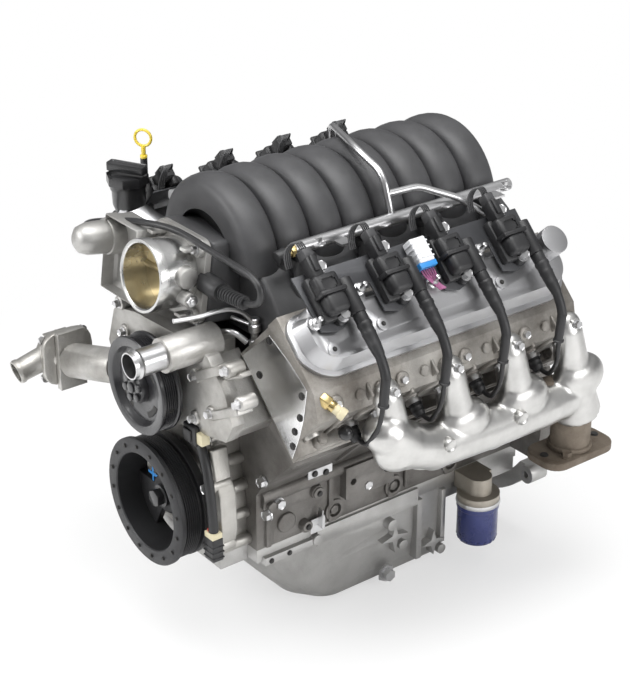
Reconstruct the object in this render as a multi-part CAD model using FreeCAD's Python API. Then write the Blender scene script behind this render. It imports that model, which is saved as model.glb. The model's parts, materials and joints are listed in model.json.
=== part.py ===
import FreeCAD, Part
import math
import os

# A complete dressed V8 engine, in millimetres.
# +Z is up, the front of the engine faces -Y and its left bank is on +X.
# The crankshaft turns about the Y axis, and y = 0 is the bell housing face,
# flush with the rear face of the crankshaft flange.

V = FreeCAD.Vector

# ---------------------------------------------------------------- driving sizes
bore_spacing = 111.76
bore_diameter = 103.25
stroke = 92.0
rod_length = 154.9
compression_height = 33.7
piston_deck_gap = 0.1
deck_height = stroke / 2 + rod_length + compression_height + piston_deck_gap
bank_angle = 45.0
bank_stagger = 24.4
rear_bore_setback = 124.7
cylinders_per_bank = 4
piston_clearance = 0.06
running_clearance = 0.05
seat_gap = 0.3

main_journal_diameter = 65.0
main_journal_width = 26.0
bulkhead_thickness = 22.0
pin_diameter = 53.3
pin_width = 50.0
counterweight_radius = 77.0
crank_flange_diameter = 98.0
crank_flange_thickness = 12.0
crank_bolt_circle = 79.0
crank_bolt_hole_diameter = 10.0
crank_pilot_diameter = 43.0
snout_diameter = 37.0
crankcase_radius = 88.0

cam_height = 124.8
cam_journal_diameter = 55.0
cam_core_diameter = 30.0
lobe_base_diameter = 36.0
lobe_lift = 7.0
lobe_width = 15.0

chain_pitch = 9.525
crank_sprocket_teeth = 18
cam_sprocket_teeth = 36
sprocket_width = 6.0

skirt_half_width = 118.0
skirt_wall = 26.0
pan_rail_drop = 65.0
front_wall = 18.0
rear_wall_recess = 20.0
bell_flange_radius = 182.0
bell_ear_radius = 15.0
bell_inner_radius = 158.0
bell_bolt_radius = 184.0
bell_bolt_hole_diameter = 11.0
valley_half_width = 66.0
valley_floor = 206.0

deck_inner_width = 90.0
deck_outer_width = 62.0
head_inner_width = 103.0
head_outer_width = 62.0
head_height = 118.0
head_end_margin = 66.0
gasket_thickness = 1.3

damper_radius = 96.0
damper_front = 631.5
pulley_radius = 70.9
pulley_front = 637.8
pump_axis_height = 186.7

# ---------------------------------------------------------------- derived places
pin_throw = stroke / 2
bore_radius = bore_diameter / 2
half = math.sqrt(0.5)
left_bores = [-rear_bore_setback - (3 - i) * bore_spacing for i in range(cylinders_per_bank)]
right_bores = [y + bank_stagger for y in left_bores]
pin_centres = [y + bank_stagger / 2 for y in left_bores]
main_centres = [pin_centres[0] + (i - 0.5) * bore_spacing for i in range(cylinders_per_bank + 1)]
block_front = main_centres[0] - front_wall
head_foot = deck_height + gasket_thickness
valley_x = half * (head_foot - head_inner_width)
valley_z = half * (head_foot + head_inner_width)
bank_x = half * (head_foot + head_outer_width)
bank_z = half * (head_foot - head_outer_width)

# ---------------------------------------------------------------- sizes of the parts
# block, its pads, bell flange and the bolts in its sides
mount_pad_reach = skirt_half_width + 14
mount_pad_y = (-372.0, -282.0)
mount_bolt_ys = (-358.0, -296.0)
mount_bolt_zs = (-4.0,)
mount_bolt_hole_diameter = 10.5
bell_bolt_angles = (-57.5, -24.0, 24.0, 57.5)
cross_bolt_height = -47.0

# crankshaft, damper seat and pistons
crank_flange_bolts = 6
snout_end = -597.0
hub_front = -601.0
hub_rear = -577.0
hub_sleeve_radius = 24.0
pin_angles = (45.0, 135.0, 315.0, 225.0)
skirt_below_pin = 23.0
ring_belt = 26.0

# camshaft and timing drive
cam_front = -536.0
cam_timing = {1: 0, 2: 225, 3: 135, 4: 90, 5: 45, 6: 180, 7: 270, 8: 315}
timing_plane = -532.0
chain_plate_height = 8.4
chain_plate_thickness = 1.4
chain_span_pins = 8

# oil pump, pickup, front cover
pump_planes = (-561.0, -540.0)
oil_rotor_radius = 30.0
rotor_lobes = 7
strainer_height = -188.0
cover_front = -570.0
cover_bolts = ((97.0, -52.0), (93.0, -10.0), (90.0, 34.0), (82.0, 74.0), (74.0, 112.0))

# oil pan and filter; each sump section is its height, inset, front and corner radius
pan_depth = 222.0
pan_front = -568.0
pan_wall = 6.0
sump_rear = -166.0
sump_top = -84.0
sump_sections = (
    (sump_top, 4.0, -512.0, 52.0), (-148.0, 5.0, -478.0, 52.0), (-190.0, 9.0, -440.0, 48.0),
    (-213.0, 18.0, -404.0, 44.0), (-pan_depth, 36.0, -380.0, 38.0),
)
pan_bolt_angles = (-122.5, 122.5)
pan_gussets = ((-270.0, -138.0, 26.0), (-192.0, -176.0, 22.0))
drain_y = -283.0
drain_z = -198.0
filter_radius = 33.0
filter_axis = (skirt_half_width + filter_radius + 0.5, -128.0)
filter_top = -106.0

# water pump, pulley and its outlet
pump_back = -572.0
impeller_radius = 28.0
pump_shaft_radius = 8.0
pulley_hub_back = -612.0
outlet_x = 82.0
outlet_z = valley_z + 28.3
outlet_radius = 18.5

# heads, valve covers, coils and leads
head_end_holes = ((44.0, 20.0), (20.0, 66.0), (-62.0, 22.0), (30.0, 40.0))
exhaust_face = 42.0
port_offset = 48.0
plug_offset = 14.0
plug_rise = 42.0
cover_inner = -98.0
cover_outer = -3.0
cover_ends = (-526.0, -58.0)
cover_corner = 50.0
cover_inner_corner = 24.0
cover_height = 34.0
cover_bosses = ((-32.0, -491.0), (-43.0, -404.0), (-44.0, -193.0))
coil_setback = 54.0
coil_spacing = 105.3
wire_radius = 4.2

# intake, throttle and fuel rails
runner_radius = 110.0
runner_centre_z = valley_z + 110.3
first_runner_y = -490.0
throttle_radius = 45.0
throttle_length = 68.0
throttle_lip = 14.0
throttle_tilt = 8.0
throttle_seat_y = -551.0
throttle_seat_z = runner_centre_z - 13
blade_station = 30.0
blade_shaft_radius = 5.0
rail_radius = 9.0
rail_x = runner_radius + 18
rail_z = runner_centre_z + 38
injector_seat = rail_z - 42
near_rail_y = (-462.0, -76.0)
far_rail_y = (-484.0, -100.0)
crossover_y = -292.0
rail_tab_ys = (-392.0, -118.0)

# exhaust manifold, its outlet and its heat shield
log_path = (
    (bank_x + 68, -440.0, bank_z + 20), (bank_x + 65, -340.0, bank_z - 1),
    (bank_x + 62, -200.0, bank_z - 10),
    (bank_x + 56, -84.0, bank_z - 12),
)
log_radius = 26.0
elbow_top = (bank_x + 53, -54.0, bank_z - 20)
elbow_radius = 29.5
runner_pipe_radius = 18.5
outlet_flange = (bank_x + 43.3, -44.0, bank_z - 119)
outlet_bore_radius = 27.0
outlet_bolt_spacing = 104.0
shield_gap = 1.5
shield_thickness = 1.5
shield_disc_ys = (-329.5, -195.7)

# oil filler, dipstick, vent pipe and breather hose
filler_foot = (-valley_x - 117.5, -505.0, valley_z + 98.8)
filler_bore_radius = 19.0
dipstick_xy = (-bank_x - 103.3, -412.0)
dipstick_top = bank_z + 255
dipstick_tube_radius = 5.5
dipstick_radius = 2.5
vent_route = tuple((x, y, valley_z + rise) for x, y, rise in (
    (-60.0, -556.0, 30.8), (70.0, -556.0, 30.8), (104.0, -545.0, 44.3), (118.0, -532.0, 28.3),
))
breather_route = tuple((x, y, valley_z + rise) for x, y, rise in (
    (-valley_x - 146, -478.0, 48.3), (-valley_x - 152, -528.0, 50.3), (-valley_x - 162, -574.0, 122.3),
    (-160.0, -586.0, 172.3), (-50.0, -586.0, 172.3), (52.0, -568.0, 172.3), (100.0, -548.0, 132.3),
    (100.0, -528.0, 84.3), (60.0, -528.0, 84.3),
))
breather_bends = (20, 40, 40, 60, 40, 30, 18)
pistons = range(1, 9)


# ---------------------------------------------------------------- shape helpers
def box(x, y, z):
    """A block between the two limits given for each axis."""
    return Part.makeBox(x[1] - x[0], y[1] - y[0], z[1] - z[0], V(x[0], y[0], z[0]))


def rod(radius, start, end):
    """A round bar from one point to another."""
    start, end = V(*start), V(*end)
    return Part.makeCylinder(radius, (end - start).Length, start, end - start)


def length_of(start, end):
    return (V(*end) - V(*start)).Length


def hexagon(across_flats, start, end):
    """A hexagonal bar, as a bolt head or a nut."""
    start, end = V(*start), V(*end)
    corner = across_flats / math.sqrt(3)
    points = [V(corner * math.cos(k * math.pi / 3), corner * math.sin(k * math.pi / 3), 0)
        for k in range(6)]
    face = Part.Face(Part.makePolygon(points + points[:1]))
    bar = face.extrude(V(0, 0, length_of(start, end)))
    bar.Placement = FreeCAD.Placement(start, FreeCAD.Rotation(V(0, 0, 1), end - start))
    return bar


def plate(points, y):
    """A flat outline in X and Z, given thickness along Y."""
    corners = [V(x, y[0], z) for x, z in points]
    return Part.Face(Part.makePolygon(corners + corners[:1])).extrude(V(0, y[1] - y[0], 0))


def side_plate(points, x):
    """A flat outline in Y and Z, given thickness along X."""
    corners = [V(x[0], y, z) for y, z in points]
    return Part.Face(Part.makePolygon(corners + corners[:1])).extrude(V(x[1] - x[0], 0, 0))


def floor_plate(points, z):
    """A flat outline in X and Y, given thickness along Z."""
    corners = [V(x, y, z[0]) for x, y in points]
    return Part.Face(Part.makePolygon(corners + corners[:1])).extrude(V(0, 0, z[1] - z[0]))


def revolve_y(points):
    """A turned piece about the Y axis, from its outline in radius and y."""
    corners = [V(radius, y, 0) for radius, y in points]
    face = Part.Face(Part.makePolygon(corners + corners[:1]))
    return face.revolve(V(0, 0, 0), V(0, 1, 0), 360)


def turned(points, start, direction):
    """A turned piece about any axis, from its outline in radius and distance along it."""
    corners = [V(radius, 0, along) for radius, along in points]
    face = Part.Face(Part.makePolygon(corners + corners[:1]))
    solid = face.revolve(V(0, 0, 0), V(0, 0, 1), 360)
    solid.Placement = FreeCAD.Placement(V(*start), FreeCAD.Rotation(V(0, 0, 1), V(*direction)))
    return solid


def fused(shapes):
    """All the shapes as one solid."""
    shapes = list(shapes)
    whole = shapes[0].multiFuse(shapes[1:]) if len(shapes) > 1 else shapes[0]
    return whole.removeSplitter()


def group(shapes):
    """Separate solids kept in one node."""
    solids = [solid for shape in shapes for solid in shape.Solids]
    return Part.makeCompound(solids)


def on_bank(shape, side):
    """Move a shape from a bank's own axes (across, y, along the bores) to the engine's."""
    shape = shape.copy()
    shape.rotate(V(0, 0, 0), V(0, 1, 0), bank_angle)
    if side == "right":
        shape = shape.mirror(V(0, 0, 0), V(1, 0, 0))
        shape.translate(V(0, bank_stagger, 0))
    return shape


def mirrored(shape):
    """The same piece on the right bank, set back by the stagger of the banks."""
    shape = shape.mirror(V(0, 0, 0), V(1, 0, 0))
    shape.translate(V(0, bank_stagger, 0))
    return shape


def bank_point(across, y, along, side="left"):
    """A point given in a bank's own axes, in the engine's."""
    x, z = half * (across + along), half * (along - across)
    return V(x, y, z) if side == "left" else V(-x, y + bank_stagger, z)


def routed(points, radius, bends):
    """A pipe along straight runs joined by tangent arcs, each with its own bend radius."""
    points = [V(*p) for p in points]
    edges, last = [], points[0]
    for before, corner, after, bend in zip(points, points[1:], points[2:], bends):
        into = (corner - before).normalize()
        out = (after - corner).normalize()
        cut = bend * math.tan(into.getAngle(out) / 2)
        start, end = corner - into * cut, corner + out * cut
        middle_way = (out - into).normalize()
        centre = corner + middle_way * (bend / math.cos(into.getAngle(out) / 2))
        middle = centre - middle_way * bend
        if (start - last).Length > 1e-3:
            edges.append(Part.LineSegment(last, start).toShape())
        edges.append(Part.Arc(start, middle, end).toShape())
        last = end
    edges.append(Part.LineSegment(last, points[-1]).toShape())
    path = Part.Wire(edges)
    along = points[1] - points[0]
    ring = Part.Wire(Part.makeCircle(radius, points[0], along))
    return path.makePipeShell([ring], True, False), path.Length


# ---------------------------------------------------------------- cylinder block
def make_block():
    """Deep-skirt block: two banks of bores over five main bearing bulkheads."""
    wall_foot = half * (deck_outer_width + 120.0), half * (120.0 - deck_outer_width)
    outline = [
        (skirt_half_width, -pan_rail_drop),
        (skirt_half_width, 26),
        wall_foot,
        (80, 120),
        (valley_half_width, valley_floor),
    ]
    outline += [(-x, z) for x, z in reversed(outline)]
    block = plate(outline, (block_front, -rear_wall_recess))

    bank_length = (block_front, left_bores[-1] + head_end_margin)
    bank_section = box((-deck_inner_width, deck_outer_width), bank_length, (100, deck_height))
    block = fused([block, on_bank(bank_section, "left"), on_bank(bank_section, "right")])

    # bell housing ring, open in the middle and cut off at the pan rail
    ring = rod(bell_flange_radius, (0, -rear_wall_recess, 0), (0, 0, 0))
    ring = ring.cut(rod(bell_inner_radius, (0, -rear_wall_recess, 0), (0, 0, 0)))
    ring = ring.cut(box((-300, 300), (-30, 10), (-300, -pan_rail_drop)))
    backing = rod(bell_flange_radius, (0, -rear_wall_recess - 12, 0), (0, -rear_wall_recess, 0))
    backing = backing.cut(box((-300, 300), (-60, 10), (-300, -pan_rail_drop)))
    block = fused([block, ring, backing] + [bell_ear(angle) for angle in bell_bolt_angles])

    # side of the crankcase: engine mount pad and its two bosses, knock sensor boss
    for side in (1, -1):
        pad = box((skirt_half_width - 4, mount_pad_reach), (mount_pad_y[0], mount_pad_y[1]), (-30, 22))
        if side < 0:
            pad = pad.mirror(V(0, 0, 0), V(1, 0, 0))
        block = block.fuse(pad)
        for y in mount_bolt_ys:
            for z in mount_bolt_zs:
                x = side * mount_pad_reach
                block = block.cut(rod(mount_bolt_hole_diameter / 2, (x + side, y, z),
                    (x - side * 20, y, z)))

    # ribs at the bulkheads, oil gallery, deck rail and bosses of the casting's sides
    side = skirt_half_width
    ribs = [box((side - 8, side + 5), (y - 4, y + 4), (-pan_rail_drop + 2, 28)) for y in main_centres[:-1]]
    ribs.append(rod(12, (side - 3, main_centres[0] - 10, 18), (side - 3, main_centres[-1] - 20, 18)))
    ribs += [rod(11, (side - 8, -417, -4), (side + 7, -417, -4)),
        rod(12, (side - 8, -502, 6), (side + 7, -502, 6)),
             rod(9, (side - 8, -439, -53), (side + 8, -439, -53)),
             hexagon(15, (side + 7, -502, 6), (side + 14, -502, 6))]
    ribs += [rod(17, (side - 8, y + 8, cross_bolt_height), (side + 4, y + 8, cross_bolt_height))
        for y in main_centres[1:4]]
    rail = box((deck_outer_width - 8, deck_outer_width + 5), bank_length,
        (deck_height - 16, deck_height - 1))
    ribs += [on_bank(rail, "left")]
    for y in main_centres[1:-1]:
        ribs.append(on_bank(box((deck_outer_width - 8, deck_outer_width + 4), (y - 5, y + 5),
            (132, deck_height - 10)), "left"))
    ribs = fused(ribs)
    wells = [rod(11, (side - 4, y + 8, cross_bolt_height), (side + 5, y + 8, cross_bolt_height))
        for y in main_centres[1:4]]
    ribs = ribs.cut(group(wells))
    block = block.cut(group(wells))
    heads = [hexagon(13, (side - 6, y + 8, cross_bolt_height), (side + 3, y + 8, cross_bolt_height))
        for y in main_centres[1:4]]
    ribs = ribs.multiFuse(heads)
    block = block.fuse(ribs).fuse(ribs.mirror(V(0, 0, 0), V(1, 0, 0)))

    # crankcase bays between the bulkheads, and the space below the shaft for the caps
    for i in range(cylinders_per_bank):
        bay = (main_centres[i] + bulkhead_thickness / 2, main_centres[i + 1] - bulkhead_thickness / 2)
        block = block.cut(rod(crankcase_radius, (0, bay[0], 0), (0, bay[1], 0)))
    below = (-skirt_half_width + skirt_wall, skirt_half_width - skirt_wall)
    block = block.cut(box(below, (block_front, -rear_wall_recess - 12), (-pan_rail_drop, 0)))
    block = block.cut(rod(main_journal_diameter / 2 + running_clearance, (0, block_front - 1, 0),
        (0, 0, 0)))
    rear_room = (main_centres[-1] + bulkhead_thickness / 2, -rear_wall_recess + 1)
    block = block.cut(rod(crank_flange_diameter / 2 + 4, (0, rear_room[0], 0), (0, rear_room[1], 0)))
    block = block.cut(box(below, (-rear_wall_recess - 13, -rear_wall_recess), (-pan_rail_drop, -20)))

    # cylinder bores, cam tunnel and bell housing bolt holes
    for side, centres in (("left", left_bores), ("right", left_bores)):
        for y in centres:
            bore = rod(bore_radius, (0, y, 82), (0, y, deck_height + 1))
            block = block.cut(on_bank(bore, side))
    tunnel = rod(cam_journal_diameter / 2 + running_clearance, (0, block_front - 1, cam_height),
        (0, -40, cam_height))
    block = block.cut(tunnel)
    for angle in bell_bolt_angles:
        block = block.cut(bell_bolt_hole(angle))
    return block


def bell_ear(angle):
    """Round ear for one bell housing bolt, at an angle from the top of the flange."""
    x, z = crank_angle_point(angle, bell_bolt_radius)
    return rod(bell_ear_radius, (x, -rear_wall_recess - 12, z), (x, 0, z))


def bell_bolt_hole(angle):
    x, z = crank_angle_point(angle, bell_bolt_radius)
    return rod(bell_bolt_hole_diameter / 2, (x, 1, z), (x, -rear_wall_recess - 13, z))


def make_main_caps():
    """Five cross-bolted main bearing caps, seated between the skirts."""
    caps = []
    reach = skirt_half_width - skirt_wall
    for y in main_centres:
        edge = bulkhead_thickness / 2
        outline = [(reach, 0), (reach, -34), (62, -58), (-62, -58), (-reach, -34), (-reach, 0)]
        cap = plate(outline, (y - edge, y + edge))
        caps.append(cap.cut(rod(main_journal_diameter / 2 + running_clearance, (0, y - 20, 0),
            (0, y + 20, 0))))
    return group(caps)


# ---------------------------------------------------------------- rotating assembly
def crank_angle_point(angle, radius):
    """A point around the crankshaft, with the angle counted from +Z towards +X."""
    return radius * math.sin(math.radians(angle)), radius * math.cos(math.radians(angle))


def make_crankshaft():
    """Cross-plane crankshaft: four pins at right angles, webs and counterweights."""
    web = (bore_spacing - main_journal_width - pin_width) / 2
    pieces = []
    for y in main_centres:
        width = main_journal_width / 2
        pieces.append(rod(main_journal_diameter / 2, (0, y - width, 0), (0, y + width, 0)))
    for number, (y, angle) in enumerate(zip(pin_centres, pin_angles)):
        x, z = crank_angle_point(angle, pin_throw)
        pieces.append(rod(pin_diameter / 2, (x, y - pin_width / 2, z), (x, y + pin_width / 2, z)))
        for sign in (-1, 1):
            near = y + sign * pin_width / 2
            ends = sorted((near, near + sign * web))
            arm = [(-40, -18), (-36, 46), (-20, 76), (20, 76), (36, 46), (40, -18)]
            arm_solid = plate(arm, ends)
            arm_solid = arm_solid
            arm_solid.rotate(V(0, 0, 0), V(0, 1, 0), angle)
            pieces.append(arm_solid)
            if number in (0, 3) or (number, sign) in ((1, -1), (2, 1)):
                weight = Part.makeCylinder(
                    counterweight_radius, web, V(0, ends[0], 0), V(0, 1, 0), 360
                )
                weight = weight.common(box((-72, 72), ends, (-90, -12)))
                weight.rotate(V(0, 0, 0), V(0, 1, 0), angle)
                pieces.append(weight)
    rear = main_centres[-1] + main_journal_width / 2
    pieces.append(rod(crank_flange_diameter / 2, (0, -crank_flange_thickness, 0), (0, 0, 0)))
    pieces.append(rod(46.0, (0, rear, 0), (0, -crank_flange_thickness, 0)))
    front = main_centres[0] - main_journal_width / 2
    pieces.append(rod(snout_diameter / 2, (0, snout_end, 0), (0, front, 0)))
    shaft = fused(pieces)
    for k in range(crank_flange_bolts):
        x, z = crank_angle_point(k * 360 / crank_flange_bolts, crank_bolt_circle / 2)
        shaft = shaft.cut(rod(crank_bolt_hole_diameter / 2, (x, -crank_flange_thickness - 8, z), (x, 1, z)))
    return shaft.cut(rod(crank_pilot_diameter / 2, (0, -14, 0), (0, 1, 0)))


def make_piston(number):
    """Slipper-skirt piston with its hollow wrist pin, at its height for the crank at rest."""
    side = "left" if number % 2 else "right"
    index = (number - 1) // 2
    y = left_bores[index]
    radius = bore_radius - piston_clearance
    pin_height = piston_heights[number]
    crown = pin_height + compression_height
    foot = pin_height - skirt_below_pin
    body = rod(radius, (0, y, foot), (0, y, crown))
    for sign in (-1, 1):
        flat = box((-60, 60), sorted((y + sign * 33, y + sign * 60)), (foot - 1, crown - ring_belt))
        body = body.cut(flat)
    hollow = box((-36, 36), (y - 24, y + 24), (foot - 1, pin_height - 3))
    return on_bank(body.cut(hollow), side)


def lobe_outline(turn):
    """A cam lobe's outline: a round heel and a pointed nose."""
    points = []
    for k in range(10):
        angle = k * 36.0
        nose = max(0.0, math.cos(math.radians(angle))) ** 3
        radius = lobe_base_diameter / 2 + lobe_lift * nose
        points.append((radius * math.sin(math.radians(angle + turn)),
            radius * math.cos(math.radians(angle + turn))))
    return points


def make_camshaft():
    """Camshaft in its tunnel: five journals and a lobe for every valve."""
    pieces = [rod(cam_core_diameter / 2, (0, cam_front, 0), (0, main_centres[-1] + 8, 0))]
    for y in main_centres:
        pieces.append(rod(cam_journal_diameter / 2, (0, max(y - 10, cam_front), 0), (0, y + 10, 0)))
    for index in range(cylinders_per_bank):
        for k, offset in enumerate((-38, -14, 14, 38)):
            y = pin_centres[index] + offset
            number = 2 * index + (1 if k < 2 else 2)
            turn = cam_timing[number] + (55 if k % 2 else -55)
            pieces.append(plate(lobe_outline(turn), (y - lobe_width / 2, y + lobe_width / 2)))
    shaft = fused(pieces)
    shaft.translate(V(0, 0, cam_height))
    return shaft


# ---------------------------------------------------------------- timing set
def pitch_radius(teeth):
    return chain_pitch / math.sin(math.pi / teeth) / 2


def sprocket(teeth, bore, y, height):
    """A chain sprocket whose teeth are tapered to enter between the links."""
    outer = pitch_radius(teeth)
    root = outer - 3.2
    tip = outer + 2.6
    step = 360.0 / teeth
    points = []
    for k in range(teeth):
        for share, radius in ((-0.32, root), (-0.12, tip), (0.12, tip), (0.32, root)):
            angle = math.radians((k + share) * step)
            points.append((radius * math.sin(angle), height + radius * math.cos(angle)))
    wheel = plate(points, (y - sprocket_width / 2, y + sprocket_width / 2))
    return wheel.cut(rod(bore, (0, y - 20, height), (0, y + 20, height)))


def chain_side(y):
    """One side of the chain: a band of link plates lying round both sprockets."""
    large, small = pitch_radius(cam_sprocket_teeth), pitch_radius(crank_sprocket_teeth)
    lean = math.asin((large - small) / cam_height)
    band = []
    for edge in (chain_plate_height / 2, -chain_plate_height / 2):
        top, low = large + edge, small + edge
        hip = V(top * math.cos(lean), y, cam_height + top * math.sin(lean) * -1)
        knee = V(low * math.cos(lean), y, low * math.sin(lean) * -1)
        left_hip, left_knee = V(-hip.x, y, hip.z), V(-knee.x, y, knee.z)
        edges = [
            Part.LineSegment(knee, hip).toShape(),
            Part.Arc(hip, V(0, y, cam_height + top), left_hip).toShape(),
            Part.LineSegment(left_hip, left_knee).toShape(),
            Part.Arc(left_knee, V(0, y, -low), knee).toShape(),
        ]
        band.append(Part.Face(Part.Wire(edges)).extrude(V(0, chain_plate_thickness, 0)))
    return band[0].cut(band[1])


def make_timing_chain():
    """Chain side plates joined by pins along its two straight spans."""
    gap = sprocket_width / 2 + 0.4
    front = chain_side(timing_plane - gap - chain_plate_thickness)
    back = chain_side(timing_plane + gap)
    large, small = pitch_radius(cam_sprocket_teeth), pitch_radius(crank_sprocket_teeth)
    lean = math.asin((large - small) / cam_height)
    span = cam_height * math.cos(lean)
    pins = []
    for side in (-1, 1):
        for k in range(chain_span_pins):
            along = span / 2 + (k - (chain_span_pins - 1) / 2) * chain_pitch
            x = small * math.cos(lean) + along * math.sin(lean)
            z = -small * math.sin(lean) + along * math.cos(lean)
            pins.append(hexagon(4.4, (side * x, timing_plane - gap, z), (side * x, timing_plane + gap, z)))
    return fused([front, back] + pins)


def make_oil_pump():
    """Pump housing behind the front cover, around the crankshaft snout."""
    outline = [(58, 12), (38, 48), (-38, 48), (-58, 12), (-50, -46), (28, -58), (84, -58), (84, -34)]
    housing = plate(outline, pump_planes)
    room = rod(oil_rotor_radius + running_clearance, (0, pump_planes[0] + 4, 0), (0, pump_planes[1] + 1, 0))
    return housing.cut(room).cut(rod(hub_sleeve_radius + 2, (0, pump_planes[0] - 1, 0),
        (0, pump_planes[1], 0)))


def make_oil_rotor():
    """Lobed inner rotor of the oil pump, turned by the crankshaft snout."""
    points = []
    for k in range(2 * rotor_lobes):
        radius = oil_rotor_radius if k % 2 == 0 else oil_rotor_radius - 5
        angle = k * math.pi / rotor_lobes
        points.append((radius * math.sin(angle), radius * math.cos(angle)))
    rotor = plate(points, (pump_planes[0] + 4.2, pump_planes[1] - 0.2))
    return rotor.cut(rod(snout_diameter / 2, (0, -700, 0), (0, 0, 0)))


def make_pickup():
    """Oil pickup: a pipe from the pump down to a strainer in the sump."""
    x, y, z = 74, pump_planes[1], -46
    route = [
        (x, y, z), (x, y + 14, z), (x, y + 22, -74), (x - 2, -412, -76),
        (x - 38, -352, strainer_height + 10),
    ]
    pipe, length = routed(route, 7.0, [10, 10, 24])
    end = route[-1]
    strainer = rod(34, (end[0], end[1], strainer_height - 6), (end[0], end[1], strainer_height + 12))
    return fused([pipe, strainer])


def front_cover_outline(inset):
    edge = [(94, -pan_rail_drop), (94, 8), (82, 70), (74, 160), (46, 204)]
    inner = [(x - inset, z - (inset if z > 180 else 0)) for x, z in edge]
    return inner + [(-x, z) for x, z in reversed(inner)]


def make_front_cover():
    """Timing cover: a shallow shell with the front crankshaft seal bore."""
    cover = plate(front_cover_outline(0), (cover_front, block_front))
    cover = cover.cut(plate(front_cover_outline(8), (cover_front + 5, block_front + 1)))
    nose = rod(42, (0, cover_front - 5, 0), (0, cover_front, 0))
    cover = cover.fuse(nose).cut(rod(hub_sleeve_radius + running_clearance, (0, -700, 0),
        (0, block_front, 0)))
    bosses = []
    for side in (-1, 1):
        for x, z in cover_bolts:
            bosses.append(rod(9, (side * x, cover_front + 2, z), (side * x, block_front, z)))
            bosses.append(hexagon(12, (side * x, cover_front - 4, z), (side * x, cover_front + 2, z)))
        bosses.append(box((side * 60 - 4, side * 60 + 4), (cover_front - 3, cover_front), (-50, 90)))
    return cover.multiFuse(bosses)


def make_rear_cover():
    """Rear cover holding the crankshaft seal."""
    outline = [(88, -64), (88, 20), (66, 74), (-66, 74), (-88, 20), (-88, -64)]
    cover = plate(outline, (-rear_wall_recess, -rear_wall_recess + 9))
    return cover.cut(rod(crank_flange_diameter / 2 + running_clearance, (0, -100, 0), (0, 1, 0)))


# ---------------------------------------------------------------- oil pan and filter
def sump_ring(side, front, rear, radius, z):
    """One level outline of the sump: a rectangle with wide front corners and small rear ones."""
    small = 12.0
    k = 1 - half
    rounds = [((-side, rear), (1, 0), (0, -1), small), ((side, rear), (0, -1), (-1, 0), small),
              ((side, front), (-1, 0), (0, 1), radius), ((-side, front), (0, 1), (1, 0), radius)]
    edges, first, last = [], None, None
    for (x, y), to_next, to_last, r in rounds:
        start = V(x + to_last[0] * r, y + to_last[1] * r, z)
        end = V(x + to_next[0] * r, y + to_next[1] * r, z)
        middle = V(x + (to_last[0] + to_next[0]) * r * k, y + (to_last[1] + to_next[1]) * r * k, z)
        if last is not None:
            edges.append(Part.LineSegment(last, start).toShape())
        edges.append(Part.Arc(start, middle, end).toShape())
        first = first or start
        last = end
    edges.append(Part.LineSegment(last, first).toShape())
    return Part.Wire(edges)


def sump(wall):
    """The deep part of the pan, drawn in by a wall: round in front, sloping under the front."""
    rings = []
    for level, inset, front, radius in sump_sections:
        rise = wall if level < sump_top else wall / 4
        side = skirt_half_width - inset - wall
        rings.append(sump_ring(side, front + wall, sump_rear - wall, radius - wall, level + rise))
    return Part.makeLoft(rings, True, True)


def make_oil_pan():
    """Cast deep-sump pan: rounded and sloped at the front, shallow at the rear."""
    side = skirt_half_width
    shallow = -112.0
    body = [
        sump(0), box((-94, 94), (pan_front, block_front), (sump_top - 6, -pan_rail_drop)),
        box((-side, side), (block_front, 0), (sump_top - 2, -pan_rail_drop)),
        box((4 - side, side - 4), (sump_rear - 8, 0), (shallow, -pan_rail_drop)),
    ]
    body.append(rod(bell_flange_radius, (0, -rear_wall_recess, 0),
        (0, 0, 0)).common(box((-300, 300), (-60, 1), (-300, -90))))
    body += [bell_ear(angle) for angle in pan_bolt_angles]
    pan = fused(body)
    inner = side - 4 - pan_wall
    cavity = [
        sump(pan_wall), box((-86, 86), (pan_front + pan_wall, -34), (sump_top, -60)),
        box((-inner, inner), (sump_front(), -34), (sump_top, -60)),
        box((-inner, inner), (sump_rear - 20, -34), (shallow + pan_wall, -60)),
    ]
    for hollow in cavity:
        pan = pan.cut(hollow)
    pan = pan.cut(rod(bell_inner_radius, (0, -rear_wall_recess, 0), (0, 1, 0)))
    trim = [
        box((side - 8, side + 8), (-513, -425), (-90, -78)),
        box((side - 10, side + 5), (-417, -225), (-96, -pan_rail_drop - 3)),
        box((side - 10, side + 5), (-226, -216), (-195, -90)),
        box((side - 10, side + 4), (-176, -168), (-184, -90)),
        rod(9, (side - 10, -277, -112), (side + 9, -277, -112)),
        rod(8, (side - 10, -420, -82), (side + 10, -420, -82)),
    ]
    for y, z, tall in pan_gussets:
        star = [(y - tall, z), (y - 5, z + 5), (y, z + tall), (y + 5, z + 5), (y + tall, z), (y + 5, z - 5),
                (y, z - tall), (y - 5, z - 5)]
        trim.append(side_plate(star, (side - 12, side + 7)))
        trim.append(rod(8, (side - 12, y + 14, z - 16), (side + 10, y + 14, z - 16)))
    trim = fused(trim).cut(box((-inner, inner), (-600, 0), (-300, 0)))
    pan = pan.fuse(trim).fuse(trim.mirror(V(0, 0, 0), V(1, 0, 0)))
    for angle in pan_bolt_angles:
        pan = pan.cut(bell_bolt_hole(angle))
    return pan.removeSplitter()


def sump_front():
    return sump_sections[0][2] + pan_wall


def make_drain_plug():
    """Drain plug with its washer, low on the side of the sump."""
    x = skirt_half_width
    washer = hexagon(26, (x, drain_y, drain_z), (x + 3, drain_y, drain_z))
    head = hexagon(17, (x + 3, drain_y, drain_z), (x + 13, drain_y, drain_z))
    return fused([washer, head])


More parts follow.
